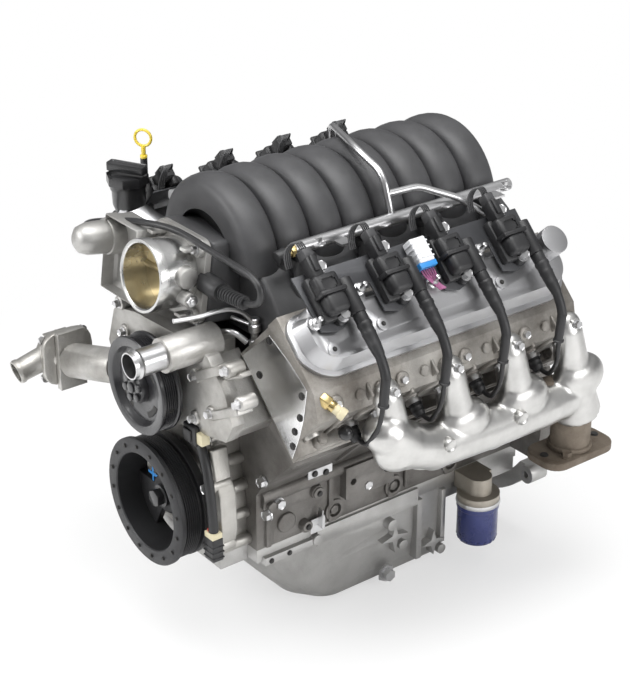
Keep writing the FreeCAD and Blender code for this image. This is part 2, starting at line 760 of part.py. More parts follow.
def make_filter_adapter():
    """Cast adapter on the side of the pan, with the filter's seat facing down."""
    x, y = filter_axis
    seat = rod(filter_radius, (x, y, filter_top), (x, y, filter_top + 12))
    neck = rod(20, (x, y, filter_top + 12), (x, y, -66))
    arm = box((skirt_half_width, x), (y - 20, y + 26), (filter_top + 12, -66))
    return fused([seat, neck, arm])


def make_oil_filter():
    """Spin-on filter can with a fluted lower end."""
    x, y = filter_axis
    outline = [(0, 0), (filter_radius, 0), (filter_radius, 50), (filter_radius - 3, 66),
        (filter_radius - 14, 74), (0, 74)]
    return turned(outline, (x, y, filter_top), (0, 0, -1))


# ---------------------------------------------------------------- front of the crankshaft
def make_damper():
    """Crankshaft damper and belt pulley: a deep cup on three spokes."""
    front = -damper_front
    rim = damper_radius
    outline = [
        (72, front), (rim - 2, front), (rim, front + 3), (rim, front + 29), (rim - 6, front + 31),
        (rim - 6, front + 35), (rim - 2, front + 37), (rim - 2, front + 53), (72, front + 53),
    ]
    ring = revolve_y(outline)
    web = rod(74, (0, hub_front + 8, 0), (0, hub_front + 18, 0))
    web = web.cut(rod(30, (0, -700, 0), (0, 0, 0)))
    for k in range(3):
        middle = k * 120 + 60
        sector = []
        for angle in (middle - 44, middle - 15, middle + 15, middle + 44):
            sector.append((66 / math.cos(math.radians(15)) * 0.97, angle))
        points = [(r * math.sin(math.radians(a)), r * math.cos(math.radians(a))) for r, a in sector]
        points += [(36 * math.sin(math.radians(a)), 36 * math.cos(math.radians(a)))
            for a in (middle + 30, middle - 30)]
        web = web.cut(plate(points, (-700, -500)))
    hub = revolve_y([
        (snout_diameter / 2, hub_front), (32, hub_front), (32, hub_rear), (hub_sleeve_radius, hub_rear),
        (hub_sleeve_radius, pump_planes[0] + 3), (snout_diameter / 2, pump_planes[0] + 3),
    ])
    return fused([ring, web, hub])


def make_damper_bolt():
    """Crankshaft bolt with its flange, clamping the damper hub."""
    flange = rod(21, (0, hub_front - 4, 0), (0, hub_front, 0))
    head = hexagon(24, (0, hub_front - 16, 0), (0, hub_front - 4, 0))
    return fused([flange, head])


# ---------------------------------------------------------------- water pump
def make_water_pump():
    """Pump casting: bearing nose, two legs to the block and the outlet socket."""
    z = pump_axis_height
    nose = rod(27, (0, -604, z), (0, pump_back, z))
    face = plate([
        (-120, 150), (-60, 132), (60, 132), (150, 150), (166, 180), (150, 222), (112, 262), (60, 268),
        (-60, 262), (-120, 250),
        (-140, 190),
    ], (-592, pump_back))
    leg = [(84, 150), (148, 150), (160, 168), (84, 244)]
    left_leg = plate(leg, (pump_back, block_front))
    right_leg = plate([(-x, h) for x, h in reversed(leg)], (pump_back, block_front + bank_stagger))
    top = box((-84, 84), (pump_back, block_front - 6), (208, 262))
    socket = rod(outlet_radius + 5.5, (outlet_x, -644, outlet_z), (outlet_x, -560, outlet_z))
    inlet = rod(26, (-224, -604, 126), (-110, -592, 158))
    flange = box((-239, -228), (-626, -582), (80, 172))
    body = fused([nose, face, left_leg, right_leg, top, socket, inlet, flange])
    body = body.cut(rod(impeller_radius + 2, (0, pump_back - 14, z), (0, pump_back + 1, z)))
    body = body.cut(rod(pump_shaft_radius + running_clearance, (0, -700, z), (0, pump_back, z)))
    return body.cut(rod(outlet_radius - 2.2, (outlet_x, -645, outlet_z), (outlet_x, -570, outlet_z)))


def make_pump_shaft():
    """Water pump shaft with its vaned impeller."""
    z = pump_axis_height
    shaft = rod(pump_shaft_radius, (0, pulley_hub_back, z), (0, pump_back - 2, z))
    disc = rod(impeller_radius, (0, pump_back - 4, z), (0, pump_back - 1, z))
    vanes = [disc, shaft]
    for k in range(6):
        vane = box((10, impeller_radius - 1), (pump_back - 11, pump_back - 4), (-1.5, 1.5))
        vane.rotate(V(0, 0, 0), V(0, 1, 0), k * 60)
        vane.translate(V(0, 0, z))
        vanes.append(vane)
    return fused(vanes)


def make_pump_pulley():
    """Pressed water pump pulley with a raised hub."""
    front = -pulley_front
    rim = pulley_radius
    pulley = revolve_y([
        (0, front - 8), (20, front - 8), (25, front + 4), (rim - 12, front + 4), (rim - 9, front),
        (rim, front),
        (rim, front + 33), (rim - 4, front + 33), (rim - 4, front + 8), (25, front + 8),
        (25, pulley_hub_back),
        (0, pulley_hub_back),
    ])
    pulley.translate(V(0, 0, pump_axis_height))
    return pulley


def make_outlet_tube():
    """Steel coolant outlet tube with a bead near its mouth."""
    outline = [
        (outlet_radius - 2, 0), (outlet_radius, 0), (outlet_radius, 36), (outlet_radius + 2, 40),
        (outlet_radius, 44),
        (outlet_radius, 50), (outlet_radius - 2, 50),
    ]
    return turned(outline, (outlet_x, -644, outlet_z), (0, -1, 0))


def make_thermostat_housing():
    """Thermostat neck, turned forward and a little down."""
    aim = V(0, -math.cos(math.radians(13)), -math.sin(math.radians(13)))
    start = V(-266, -600, 134)
    end = start + aim * 76
    bulb = rod(30, (-240, -604, 126), (-258, -604, 126))
    neck = fused([rod(outlet_radius + 2, start, end), rod(outlet_radius + 3, start + aim * 52, end)])
    elbow = rod(27, (-266, -582, 136), (-266, -628, 126))
    lug = box((-250, -240), (-626, -582), (80, 172))
    body = fused([bulb, neck, elbow, lug])
    return body.cut(rod(outlet_radius - 1, tuple(start + aim * 30), tuple(end + aim)))


# ---------------------------------------------------------------- top end
def make_valley_cover():
    """Flat cover over the lifter valley."""
    return box((-valley_half_width + 3, valley_half_width - 3), (block_front + 14, -44),
        (valley_floor, valley_floor + 7))


def make_head_gasket(side):
    """Layered head gasket, open at each bore."""
    y = (left_bores[0] - 60, left_bores[-1] + 60)
    gasket = box((-deck_inner_width + 2, deck_outer_width - 2), y,
        (deck_height, deck_height + gasket_thickness))
    for centre in left_bores:
        gasket = gasket.cut(rod(bore_radius + 1, (0, centre, deck_height - 1),
            (0, centre, deck_height + 3)))
    return on_bank(gasket, side)


def make_head(side):
    """Aluminium cylinder head with its exhaust face and machined ends."""
    foot = deck_height + gasket_thickness
    top = foot + head_height
    outline = [
        (-head_inner_width, foot), (head_outer_width, foot), (head_outer_width, foot + 24),
        (exhaust_face, foot + 32),
        (exhaust_face, foot + 96), (8, top), (-head_inner_width - 2, top),
        (-head_inner_width - 2, foot + 92), (-head_inner_width, foot + 90),
    ]
    y = (left_bores[0] - head_end_margin, left_bores[-1] + head_end_margin)
    head = plate(outline, y)
    for centre in left_bores:
        port_y = centre + port_offset
        port = box((20, 60), (port_y - 16, port_y + 16), (foot + 54, foot + 86))
        head = head.cut(port)
    lugs = []
    for y_lug in [centre - 34 for centre in left_bores] + [left_bores[-1] + 42]:
        lugs.append(rod(9, (52, y_lug, foot + 20), (52, y_lug, foot + 40)))
        lugs.append(hexagon(13, (52, y_lug, foot + 40), (52, y_lug, foot + 46)))
        lugs.append(rod(8, (2, y_lug, top - 20), (2, y_lug, top - 2)))
    for centre in left_bores:
        lugs.append(rod(15, (exhaust_face - 8, centre + plug_offset, foot + plug_rise),
                        (exhaust_face - 0.5, centre + plug_offset, foot + plug_rise)))
    head = fused([head] + lugs)
    for across, along in head_end_holes:
        head = head.cut(rod(5, (across, y[0] - 1, foot + along), (across, y[0] + 18, foot + along)))
    return on_bank(head, side)


def cover_ring(inset, along, radius):
    """The rounded outline of a valve cover, drawn in by an inset."""
    w = (cover_inner + inset, cover_outer - inset)
    y = (cover_ends[0] + inset, cover_ends[1] - inset)
    r = radius - inset
    small = max(cover_inner_corner - inset, 4)
    k = half
    edges = []

    def line(a, b):
        edges.append(Part.LineSegment(V(a[0], a[1], along), V(b[0], b[1], along)).toShape())

    def arc(a, m, b):
        edges.append(Part.Arc(V(a[0], a[1], along), V(m[0], m[1], along), V(b[0], b[1], along)).toShape())

    line((w[0], y[0] + small), (w[0], y[1] - small))
    arc((w[0], y[1] - small), (w[0] + small * (1 - k), y[1] - small * (1 - k)), (w[0] + small, y[1]))
    line((w[0] + small, y[1]), (w[1] - r, y[1]))
    arc((w[1] - r, y[1]), (w[1] - r * (1 - k), y[1] - r * (1 - k)), (w[1], y[1] - r))
    line((w[1], y[1] - r), (w[1], y[0] + r))
    arc((w[1], y[0] + r), (w[1] - r * (1 - k), y[0] + r * (1 - k)), (w[1] - r, y[0]))
    line((w[1] - r, y[0]), (w[0] + small, y[0]))
    arc((w[0] + small, y[0]), (w[0] + small * (1 - k), y[0] + small * (1 - k)), (w[0], y[0] + small))
    return Part.Wire(edges)


def make_valve_cover(side):
    """Cast valve cover: a hollow dome on a lip that follows the head."""
    foot = deck_height + gasket_thickness + head_height
    lip = Part.Face(cover_ring(0, foot, cover_corner)).extrude(V(0, 0, 8))
    dome = Part.makeLoft([cover_ring(7, foot + 8, cover_corner),
        cover_ring(15, foot + cover_height, cover_corner)], True, True)
    cover = lip.fuse(dome)
    inside = Part.makeLoft(
        [cover_ring(11, foot - 1, cover_corner), cover_ring(20, foot + cover_height - 4, cover_corner)],
        True, True
    )
    cover = cover.cut(inside)
    seats = [(-88, y + coil_spacing / 2) for y in coil_centres()] + [(-88, coil_centres()[0] - 24)]
    for across, y in cover_bosses + tuple(seats):
        boss = rod(9, (across, y, foot + 6), (across, y, foot + cover_height + 4))
        cover = cover.fuse(boss.cut(inside))
    tower = rod(21, (-72, cover_ends[1] - 34, foot + 10),
        (-72, cover_ends[1] - 34, foot + cover_height + 28))
    cover = on_bank(cover.fuse(tower.cut(inside)), side)
    if side == "left":
        return cover
    x, y, z = filler_foot
    boss = rod(22, (x, y, z - 44), filler_foot)
    below = on_bank(box((-200, 100), (-700, 0), (foot - 60, foot)), side)
    return cover.fuse(boss.cut(on_bank(inside, side)).cut(below))


def coil_centres():
    return [cover_ends[0] + coil_setback + k * coil_spacing for k in range(cylinders_per_bank)]


def make_coil_bracket(side):
    """Stamped bracket that carries the coils: a strip with one foot for each coil."""
    level = deck_height + gasket_thickness + head_height + cover_height + 4
    ys = coil_centres()
    points = [(-138, ys[0] - 34), (-138, ys[-1] + 44)]
    for y in reversed(ys):
        points += [(-100, y + 44), (-58, y + 14), (-52, y - 6), (-58, y - 28), (-100, y - 30)]
    points = [(w, y) for w, y in points]
    strip = floor_plate(points, (level, level + 3))
    return on_bank(strip, side)


def make_coils(side):
    """Four ignition coils: core pack, plug tower and connector."""
    level = deck_height + gasket_thickness + head_height + cover_height + 7
    coils = []
    for y in coil_centres():
        core = box((-126, -66), (y - 24, y + 16), (level, level + 30))
        cap = box((-120, -72), (y - 20, y + 12), (level + 30, level + 34))
        tower = hexagon(22, (-100, y + 27, level + 15), (-30, y + 27, level + 15))
        plug = box((-152, -126), (y - 6, y + 18), (level + 6, level + 28))
        ear = box((-126, -100), (y + 16, y + 20), (level, level + 24))
        coils.append(fused([core, cap, tower, plug, ear]))
    return group(on_bank(coil, side) for coil in coils)


def make_spark_plugs(side):
    """The hexagons of the spark plugs, seated on the head's exhaust face."""
    foot = deck_height + gasket_thickness
    plugs = []
    for bore in left_bores:
        y = bore + plug_offset
        plugs.append(hexagon(16, (exhaust_face, y, foot + plug_rise),
            (exhaust_face + 9, y, foot + plug_rise)))
    return group(on_bank(plug, side) for plug in plugs)


def make_plug_wires(side):
    """Spark plug leads with a boot at each end."""
    level = deck_height + gasket_thickness + head_height + cover_height + 22
    foot = deck_height + gasket_thickness
    leads = []
    for y, bore in zip(coil_centres(), left_bores):
        plug_y = bore + plug_offset
        points = [
            (-20, y + 27, level), (18, y + 27, level), (76, plug_y, level - 76),
            (63, plug_y, foot + plug_rise + 26),
            (exhaust_face + 16, plug_y, foot + plug_rise),
        ]
        path, length = routed(points, wire_radius, [34, 40, 14])
        boot = rod(10, (exhaust_face + 9, plug_y, foot + plug_rise),
            (exhaust_face + 20, plug_y, foot + plug_rise))
        cap = rod(9, (-30, y + 27, level), (0, y + 27, level))
        leads.append(fused([path, boot, cap]))
    return group(on_bank(lead, side) for lead in leads)


def make_intake():
    """Moulded intake manifold: eight arched runners over a central plenum."""
    foot = deck_height + gasket_thickness
    low, high = (bank_point(-head_inner_width, 0, foot + rise) for rise in (8, 86))
    right_half = [(low.x - 9, low.z + 9), (low.x, low.z), (high.x, high.z), (high.x - 9, high.z + 9),
        (118, 345), (96, 352)]
    lower = right_half + [(-x, z) for x, z in reversed(right_half)]
    base = plate(lower, (left_bores[0] - 46, right_bores[-1] + 40))
    pieces = [base]
    width = bore_spacing / 2
    for k in range(2 * cylinders_per_bank):
        y = first_runner_y + k * width
        profile = [
            (runner_radius - 46, y - width / 2), (runner_radius - 12, y - width / 2),
            (runner_radius, y - width / 4),
            (runner_radius, y + width / 4), (runner_radius - 12, y + width / 2),
            (runner_radius - 46, y + width / 2),
        ]
        corners = [V(r, at, 0) for r, at in profile]
        face = Part.Face(Part.makePolygon(corners + corners[:1]))
        arch = face.revolve(V(0, 0, 0), V(0, 1, 0), -180)
        arch.translate(V(0, 0, runner_centre_z))
        pieces.append(arch)
    ends = (first_runner_y - width / 2, first_runner_y + 7.5 * width)
    for side, ys in ((1, left_bores), (-1, right_bores)):
        for y in ys:
            pieces.append(rod(11, (side * rail_x, y + 8, 318), (side * rail_x, y + 8, injector_seat)))
    middle = rod(runner_radius - 40, (0, ends[0], runner_centre_z), (0, ends[1], runner_centre_z))
    pieces.append(middle.common(box((-200, 200), ends, (runner_centre_z, 700))))
    snout = box((-60, 60), (-58, 58), (-64, 0))
    pieces.append(at_throttle(snout))
    whole = fused(pieces)
    bore = rod(throttle_radius + 1, (0, 0, -62), (0, 0, 1))
    return whole.cut(at_throttle(bore))


def at_throttle(shape):
    """Move a shape from the throttle's own axes, z along its bore, to its seat on the intake."""
    shape = shape.copy()
    shape.rotate(V(0, 0, 0), V(1, 0, 0), 90 - throttle_tilt)
    shape.translate(V(0, throttle_seat_y, throttle_seat_z))
    return shape


def make_throttle_body():
    """Throttle body with its flange, machined inlet and motor housing."""
    flange = box((-57, 57), (-57, 57), (0, 10))
    barrel = rod(throttle_radius + 4, (0, 0, 0), (0, 0, throttle_length))
    lip = rod(throttle_radius + 5, (0, 0, throttle_length - throttle_lip), (0, 0, throttle_length))
    rib = Part.makeCone(58, 53, 22, V(0, 0, 10), V(0, 0, 1))
    gear_case = box((-122, -44), (-50, 34), (8, 52))
    motor = rod(24, (-84, 32, 30), (-158, 32, 30))
    boss = rod(10, (44, -22, 22), (62, -22, 22))
    body = fused([flange, barrel, lip, rib, gear_case, motor, boss])
    body = body.cut(rod(throttle_radius, (0, 0, -1), (0, 0, throttle_length + 1)))
    body = body.cut(rod(blade_shaft_radius + running_clearance, (-60, 0, blade_station),
        (54, 0, blade_station)))
    return at_throttle(body)


def make_throttle_blade():
    """Throttle blade on its cross shaft."""
    disc = rod(throttle_radius - 0.3, (0, 0, blade_station - 1.2), (0, 0, blade_station + 1.2))
    shaft = rod(blade_shaft_radius, (-58, 0, blade_station), (52, 0, blade_station))
    return at_throttle(fused([disc, shaft]))


def make_fuel_rail():
    """Two fuel rails joined by a crossover, with the barbed inlet branch."""
    near = rod(rail_radius, (rail_x, near_rail_y[0], rail_z), (rail_x, near_rail_y[1], rail_z))
    far = rod(rail_radius, (-rail_x, far_rail_y[0], rail_z), (-rail_x, far_rail_y[1], rail_z))
    x = rail_x
    cross, length = routed(
        [(x, crossover_y, rail_z), (x - 22, crossover_y, rail_z + 60),
        (40, crossover_y, runner_centre_z + runner_radius + 10),
         (-60, crossover_y + 40, runner_centre_z + runner_radius + 4), (-x, crossover_y + 100, rail_z)],
        5.0, [40, 60, 60],
    )
    inlet, length = routed(
        [(x - 12, crossover_y, rail_z + 33), (x - 6, crossover_y + 50, rail_z + 34),
        (x + 20, crossover_y + 104, rail_z + 12),
         (x + 46, crossover_y + 132, rail_z - 10)], 5.0, [40, 60],
    )
    tabs = []
    for y in rail_tab_ys:
        tabs.append(box((x + 2, x + 28), (y - 10, y + 10), (rail_z - 3, rail_z)))
    return fused([near, far, cross, inlet] + tabs)


def make_injectors():
    """Fuel injectors standing between the rails and the intake ports."""
    bodies = []
    for side, ys in ((1, left_bores), (-1, right_bores)):
        for y in ys:
            x = side * rail_x
            bodies.append(rod(7.5, (x, y + 8, injector_seat), (x, y + 8, rail_z - rail_radius)))
    return group(bodies)


# ---------------------------------------------------------------- exhaust side
def on_log(y):
    """The point of the log's axis at a place along the engine."""
    for near, far in zip(log_path, log_path[1:]):
        if y <= far[1] or far is log_path[-1]:
            share = (y - near[1]) / (far[1] - near[1])
            return V(*near) + (V(*far) - V(*near)) * share


def exhaust_body(extra):
    """The four runners and the log they join, with a skin of extra thickness."""
    start, after = V(*log_path[0]), V(*log_path[1])
    log, length = routed(log_path, log_radius + extra, (160, 160))
    nose = Part.makeCone(log_radius + extra, log_radius * 0.55 + extra, 18, start, start - after)
    turn = rod(log_radius + extra, log_path[-1], elbow_top)
    knee = Part.makeSphere(elbow_radius + 1.5 + extra, V(*elbow_top))
    x, y, z = outlet_flange
    elbow = rod(elbow_radius + extra, elbow_top, (x, y, z - 6))
    pieces = [log, nose, turn, knee, elbow]
    for bore in left_bores:
        port_y = bore + port_offset
        route = [bank_point(exhaust_face + away, port_y, head_foot + 76)
            for away in (0, 26)] + [on_log(port_y - 6)]
        pipe, length = routed(route, runner_pipe_radius + extra, [26])
        pieces.append(pipe)
    return fused(pieces)


def make_exhaust_manifold():
    """Cast log manifold with four runners, port flanges and a flanged outlet elbow."""
    pieces = [exhaust_body(0)]
    for bore in left_bores:
        port_y = bore + port_offset
        flange = box((exhaust_face, exhaust_face + 8), (port_y - 24, port_y + 24),
            (head_foot + 52, head_foot + 96))
        pieces.append(on_bank(flange, "left"))
    x, y, z = outlet_flange
    plan = [(x - 36, y - 40), (x - 14, y - 66), (x + 22, y - 66), (x + 38, y - 44), (x + 38, y + 44),
        (x + 22, y + 66),
            (x - 14, y + 66), (x - 36, y + 40)]
    pieces.append(floor_plate(plan, (z - 12, z)))
    manifold = fused(pieces)
    manifold = manifold.cut(rod(outlet_bore_radius, (x, y, z - 13), (x, y, z + 20)))
    for offset in (-outlet_bolt_spacing / 2, outlet_bolt_spacing / 2):
        manifold = manifold.cut(rod(5.5, (x, y + offset, z - 13), (x, y + offset, z + 1)))
    posts = []
    for y in shield_disc_ys:
        centre = on_log(y)
        posts.append(rod(6, centre, centre + V(log_radius + shield_gap, 0, 0)))
    return manifold.fuse(fused(posts).cut(make_heat_shield()))


def make_heat_shield():
    """Stamped shield round the log and its runners, open at the head and below the elbow."""
    inner = exhaust_body(shield_gap)
    shield = exhaust_body(shield_gap + shield_thickness)
    discs = []
    for y in shield_disc_ys:
        centre = on_log(y)
        reach = log_radius + shield_gap + shield_thickness
        discs.append(rod(11, centre + V(reach - 8, 0, 0), centre + V(reach + 2, 0, 0)))
    shield = shield.multiFuse(discs).cut(inner)
    head_side = on_bank(box((-200, exhaust_face + 10), (-700, 100), (0, 500)), "left")
    below = box((0, 500), (-112, 100), (-200, elbow_top[2] - 34))
    return max(shield.cut(head_side).cut(below).Solids, key=lambda solid: solid.Volume)


# ---------------------------------------------------------------- filler, dipstick and pipes
def make_filler_neck():
    """Oil filler neck standing on the right valve cover."""
    outline = [(17, 0), (22, 14), (25, 30), (25, 60), (0, 60), (0, 0)]
    neck = turned(outline, filler_foot, (0, 0, 1))
    x, y, z = filler_foot
    return neck.cut(rod(filler_bore_radius, (x, y, z + 10), (x, y, z + 61)))


def make_filler_cap():
    """Quarter-turn oil filler cap with a grip bar and a plug that enters the neck."""
    x, y, z = filler_foot
    z += 60
    rim = hexagon(62, (x, y, z + seat_gap), (x, y, z + 16))
    grip = box((x - 28, x + 28), (y - 9, y + 9), (z + 16, z + 30))
    plug = rod(filler_bore_radius - running_clearance, (x, y, z - 14), (x, y, z + 1))
    return fused([rim, grip, plug])


def make_dipstick_tube():
    """Dipstick tube from the right side of the crankcase up past the head."""
    x, y = dipstick_xy
    route = [
        (x, y, dipstick_top), (x, y, 250), (x - 2, -440, 120), (-160, -446, 16),
        (-skirt_half_width + 8, -444, -16),
    ]
    outer, length = routed(route, dipstick_tube_radius, [40, 40, 26])
    outer = outer.cut(box((-skirt_half_width, 0), (-500, -380), (-80, 60)))
    return outer.cut(rod(dipstick_radius + 0.8, (x, y, dipstick_top - 84), (x, y, dipstick_top + 1)))


def make_dipstick():
    """Dipstick blade with its ring handle."""
    x, y = dipstick_xy
    stem = rod(dipstick_radius, (x, y, dipstick_top - 80), (x, y, dipstick_top + 6))
    collar = rod(6, (x, y, dipstick_top + seat_gap), (x, y, dipstick_top + 14))
    level = dipstick_top + 28
    ring = rod(15, (x, y - 2.5, level), (x, y + 2.5, level)).cut(rod(11, (x, y - 4, level), (x, y + 4,
        level)))
    return fused([stem, collar, ring])


def make_vent_pipe():
    """Steel coolant vent pipe across the front of the heads."""
    pipe, length = routed(vent_route, 4.0, [18, 18])
    return pipe


def make_breather_hose():
    """Breather hose from the front of the right valve cover round to the intake."""
    hose, length = routed(breather_route, 5.5, breather_bends)
    hose = hose.cut(NODES["valve_cover_right"])
    return max(hose.Solids, key=lambda solid: solid.Volume)


NODES = {}


def node(name, shape):
    NODES[name] = shape


# pin height of every piston at rest, with the first cylinder at the top of its stroke
pin_of_cylinder = {number: pin_angles[(number - 1) // 2] for number in pistons}
piston_heights = {}
for number, pin_angle in pin_of_cylinder.items():
    bank = bank_angle if number % 2 else -bank_angle
    turn = math.radians(pin_angle - bank)
    lateral = pin_throw * math.sin(turn)
    piston_heights[number] = pin_throw * math.cos(turn) + math.sqrt(rod_length ** 2 - lateral ** 2)

node("engine_block", make_block())
node("main_bearing_caps", make_main_caps())
node("crankshaft", make_crankshaft())
for number in pistons:
    node("piston_%d" % number, make_piston(number))
node("camshaft", make_camshaft())
node("crank_sprocket", sprocket(crank_sprocket_teeth, snout_diameter / 2, timing_plane, 0))
node("cam_sprocket", sprocket(cam_sprocket_teeth, cam_core_diameter / 2, timing_plane, cam_height))
node("timing_chain", make_timing_chain())
node("oil_pump", make_oil_pump())
node("oil_pump_rotor", make_oil_rotor())
node("oil_pickup", make_pickup())
node("front_cover", make_front_cover())
node("rear_cover", make_rear_cover())
node("oil_pan", make_oil_pan())
node("drain_plug", make_drain_plug())
node("filter_adapter", make_filter_adapter())
node("oil_filter", make_oil_filter())
node("crank_damper", make_damper())
node("damper_bolt", make_damper_bolt())
node("water_pump", make_water_pump())
node("water_pump_shaft", make_pump_shaft())
node("water_pump_pulley", make_pump_pulley())
node("water_outlet_tube", make_outlet_tube())
node("thermostat_housing", make_thermostat_housing())
node("valley_cover", make_valley_cover())
node("head_gaskets", group(make_head_gasket(side) for side in ("left", "right")))
for side in ("left", "right"):
    node("cylinder_head_" + side, make_head(side))
    node("valve_cover_" + side, make_valve_cover(side))
    node("coil_bracket_" + side, make_coil_bracket(side))
    node("ignition_coils_" + side, make_coils(side))
    node("spark_plugs_" + side, make_spark_plugs(side))
    node("plug_wires_" + side, make_plug_wires(side))
node("intake_manifold", make_intake())
node("throttle_body", make_throttle_body())
node("throttle_blade", make_throttle_blade())
node("fuel_rails", make_fuel_rail())
node("fuel_injectors", make_injectors())
manifold = make_exhaust_manifold()
shield = make_heat_shield()
node("heat_shield_left", shield)
node("heat_shield_right", mirrored(shield))
node("exhaust_manifold_left", manifold)
node("exhaust_manifold_right", mirrored(manifold))
node("oil_filler_neck", make_filler_neck())
node("oil_filler_cap", make_filler_cap())
node("dipstick_tube", make_dipstick_tube())
node("dipstick", make_dipstick())
node("coolant_vent_pipe", make_vent_pipe())
node("breather_hose", make_breather_hose())

os.makedirs("parts", exist_ok=True)
for name, shape in NODES.items():
    shape.exportStep("parts/%s.step" % name)
    print(name, len(shape.Solids), "solid(s)", round(shape.Volume / 1000), "cm3", "valid"
        if shape.isValid() else "INVALID")
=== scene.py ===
# %% Setting up
import json
import math

import bmesh
import bpy
from mathutils import Matrix, Vector


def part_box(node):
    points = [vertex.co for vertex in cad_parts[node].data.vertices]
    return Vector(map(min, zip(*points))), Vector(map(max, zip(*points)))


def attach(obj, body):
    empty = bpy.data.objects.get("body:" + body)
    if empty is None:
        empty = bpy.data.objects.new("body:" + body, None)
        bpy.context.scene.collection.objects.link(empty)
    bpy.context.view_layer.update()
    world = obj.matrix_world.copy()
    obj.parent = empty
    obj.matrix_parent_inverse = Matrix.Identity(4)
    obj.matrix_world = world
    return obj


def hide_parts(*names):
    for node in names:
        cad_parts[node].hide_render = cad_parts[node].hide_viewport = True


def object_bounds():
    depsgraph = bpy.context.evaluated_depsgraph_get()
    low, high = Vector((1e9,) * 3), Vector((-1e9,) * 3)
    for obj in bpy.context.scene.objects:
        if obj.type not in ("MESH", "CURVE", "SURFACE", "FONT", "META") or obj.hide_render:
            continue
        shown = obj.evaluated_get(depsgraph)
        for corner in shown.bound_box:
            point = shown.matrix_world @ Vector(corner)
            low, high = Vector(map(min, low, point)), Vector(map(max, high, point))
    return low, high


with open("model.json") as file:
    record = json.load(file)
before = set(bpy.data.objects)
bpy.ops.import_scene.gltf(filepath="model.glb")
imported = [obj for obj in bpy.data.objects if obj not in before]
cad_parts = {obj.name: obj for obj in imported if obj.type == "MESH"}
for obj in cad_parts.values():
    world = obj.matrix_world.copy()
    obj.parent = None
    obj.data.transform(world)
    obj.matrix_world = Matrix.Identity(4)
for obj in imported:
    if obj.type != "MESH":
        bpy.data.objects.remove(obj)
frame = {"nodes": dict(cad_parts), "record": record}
cad_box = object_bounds()
NODES = frame["nodes"]
print("engine parts from the solid model:", len(NODES))

# %% [markdown]
# The camera stands high at the front left of the engine, as a person would who walks up to it on
# a workshop floor. A long lens keeps the cylinder banks nearly parallel. We aim it with a vector
# rather than by turning it by hand, because the same numbers then give the same view every time.

# %% The camera
AZIMUTH, ELEVATION = math.radians(52.4), math.radians(26.49)
camera = bpy.data.objects.new("camera", bpy.data.cameras.new("camera"))
bpy.context.scene.collection.objects.link(camera)
camera.data.sensor_width = 36
camera.data.lens = 92.25
camera.data.clip_end = 60
camera.location = (1.84889, -1.7509, 1.31597)
level = math.cos(ELEVATION)
look = Vector((-math.sin(AZIMUTH) * level, math.cos(AZIMUTH) * level, -math.sin(ELEVATION)))
camera.rotation_euler = look.to_track_quat("-Z", "Y").to_euler()
bpy.context.scene.camera = camera
print("camera at", tuple(round(c, 3) for c in camera.location))

# %% [markdown]
# An engine has hundreds of small glossy faces, and each one mirrors what stands around it. Large
# soft lamps give long, calm highlights on the castings, where small lamps would give hard spots.
# All three point at the middle of the engine: one from above, one from the front, one from the side.


# %% The lamps
def area_lamp(name, place, target, size, watts):
    """A soft rectangular lamp that points at a target."""
    lamp = bpy.data.lights.new(name, "AREA")
    lamp.shape = "RECTANGLE"
    lamp.size, lamp.size_y = size
    lamp.energy = watts
    holder = bpy.data.objects.new(name, lamp)
    bpy.context.scene.collection.objects.link(holder)
    holder.location = place
    holder.rotation_euler = (Vector(target) - Vector(place)).to_track_quat("-Z", "Y").to_euler()
    return holder


area_lamp("overhead_softbox", (0.3, -0.6, 2.6), (0, -0.3, 0.2), (2.4, 1.6), 66)
area_lamp("front_softbox", (-0.9, -2.7, 1.3), (0, -0.4, 0.15), (1.4, 1.2), 40)
area_lamp("side_softbox", (2.7, 0.3, 0.9), (0.1, -0.3, 0.1), (1.8, 1.0), 34)
print("lamps:", len(bpy.data.lights))

# %% [markdown]
# Finishes are built from nodes. A texture value is easier to read as a sum than as a row of
# boxes, so one small class lets sockets be added and multiplied like numbers, and one method of
# the recipe makes every other node.


# %% Sums of sockets, and the recipe of a finish
class Value:
    """A socket that can be used in sums: each operation adds its Math node."""

    def __init__(self, recipe, socket):
        self.recipe = recipe
        self.socket = socket

    def _math(self, operation, first, second):
        return self.recipe.add("ShaderNodeMath", {"operation": operation}, {0: first, 1: second})

    def __add__(self, other):
        return self._math("ADD", self, other)

    def __mul__(self, other):
        return self._math("MULTIPLY", self, other)

    def between(self, low, high):
        """0 below low, 1 above high and a straight ramp from one to the other."""
        return self.recipe.add("ShaderNodeMapRange", {"clamp": True},
                               {0: self, 1: low, 2: high, 3: 0.0, 4: 1.0})


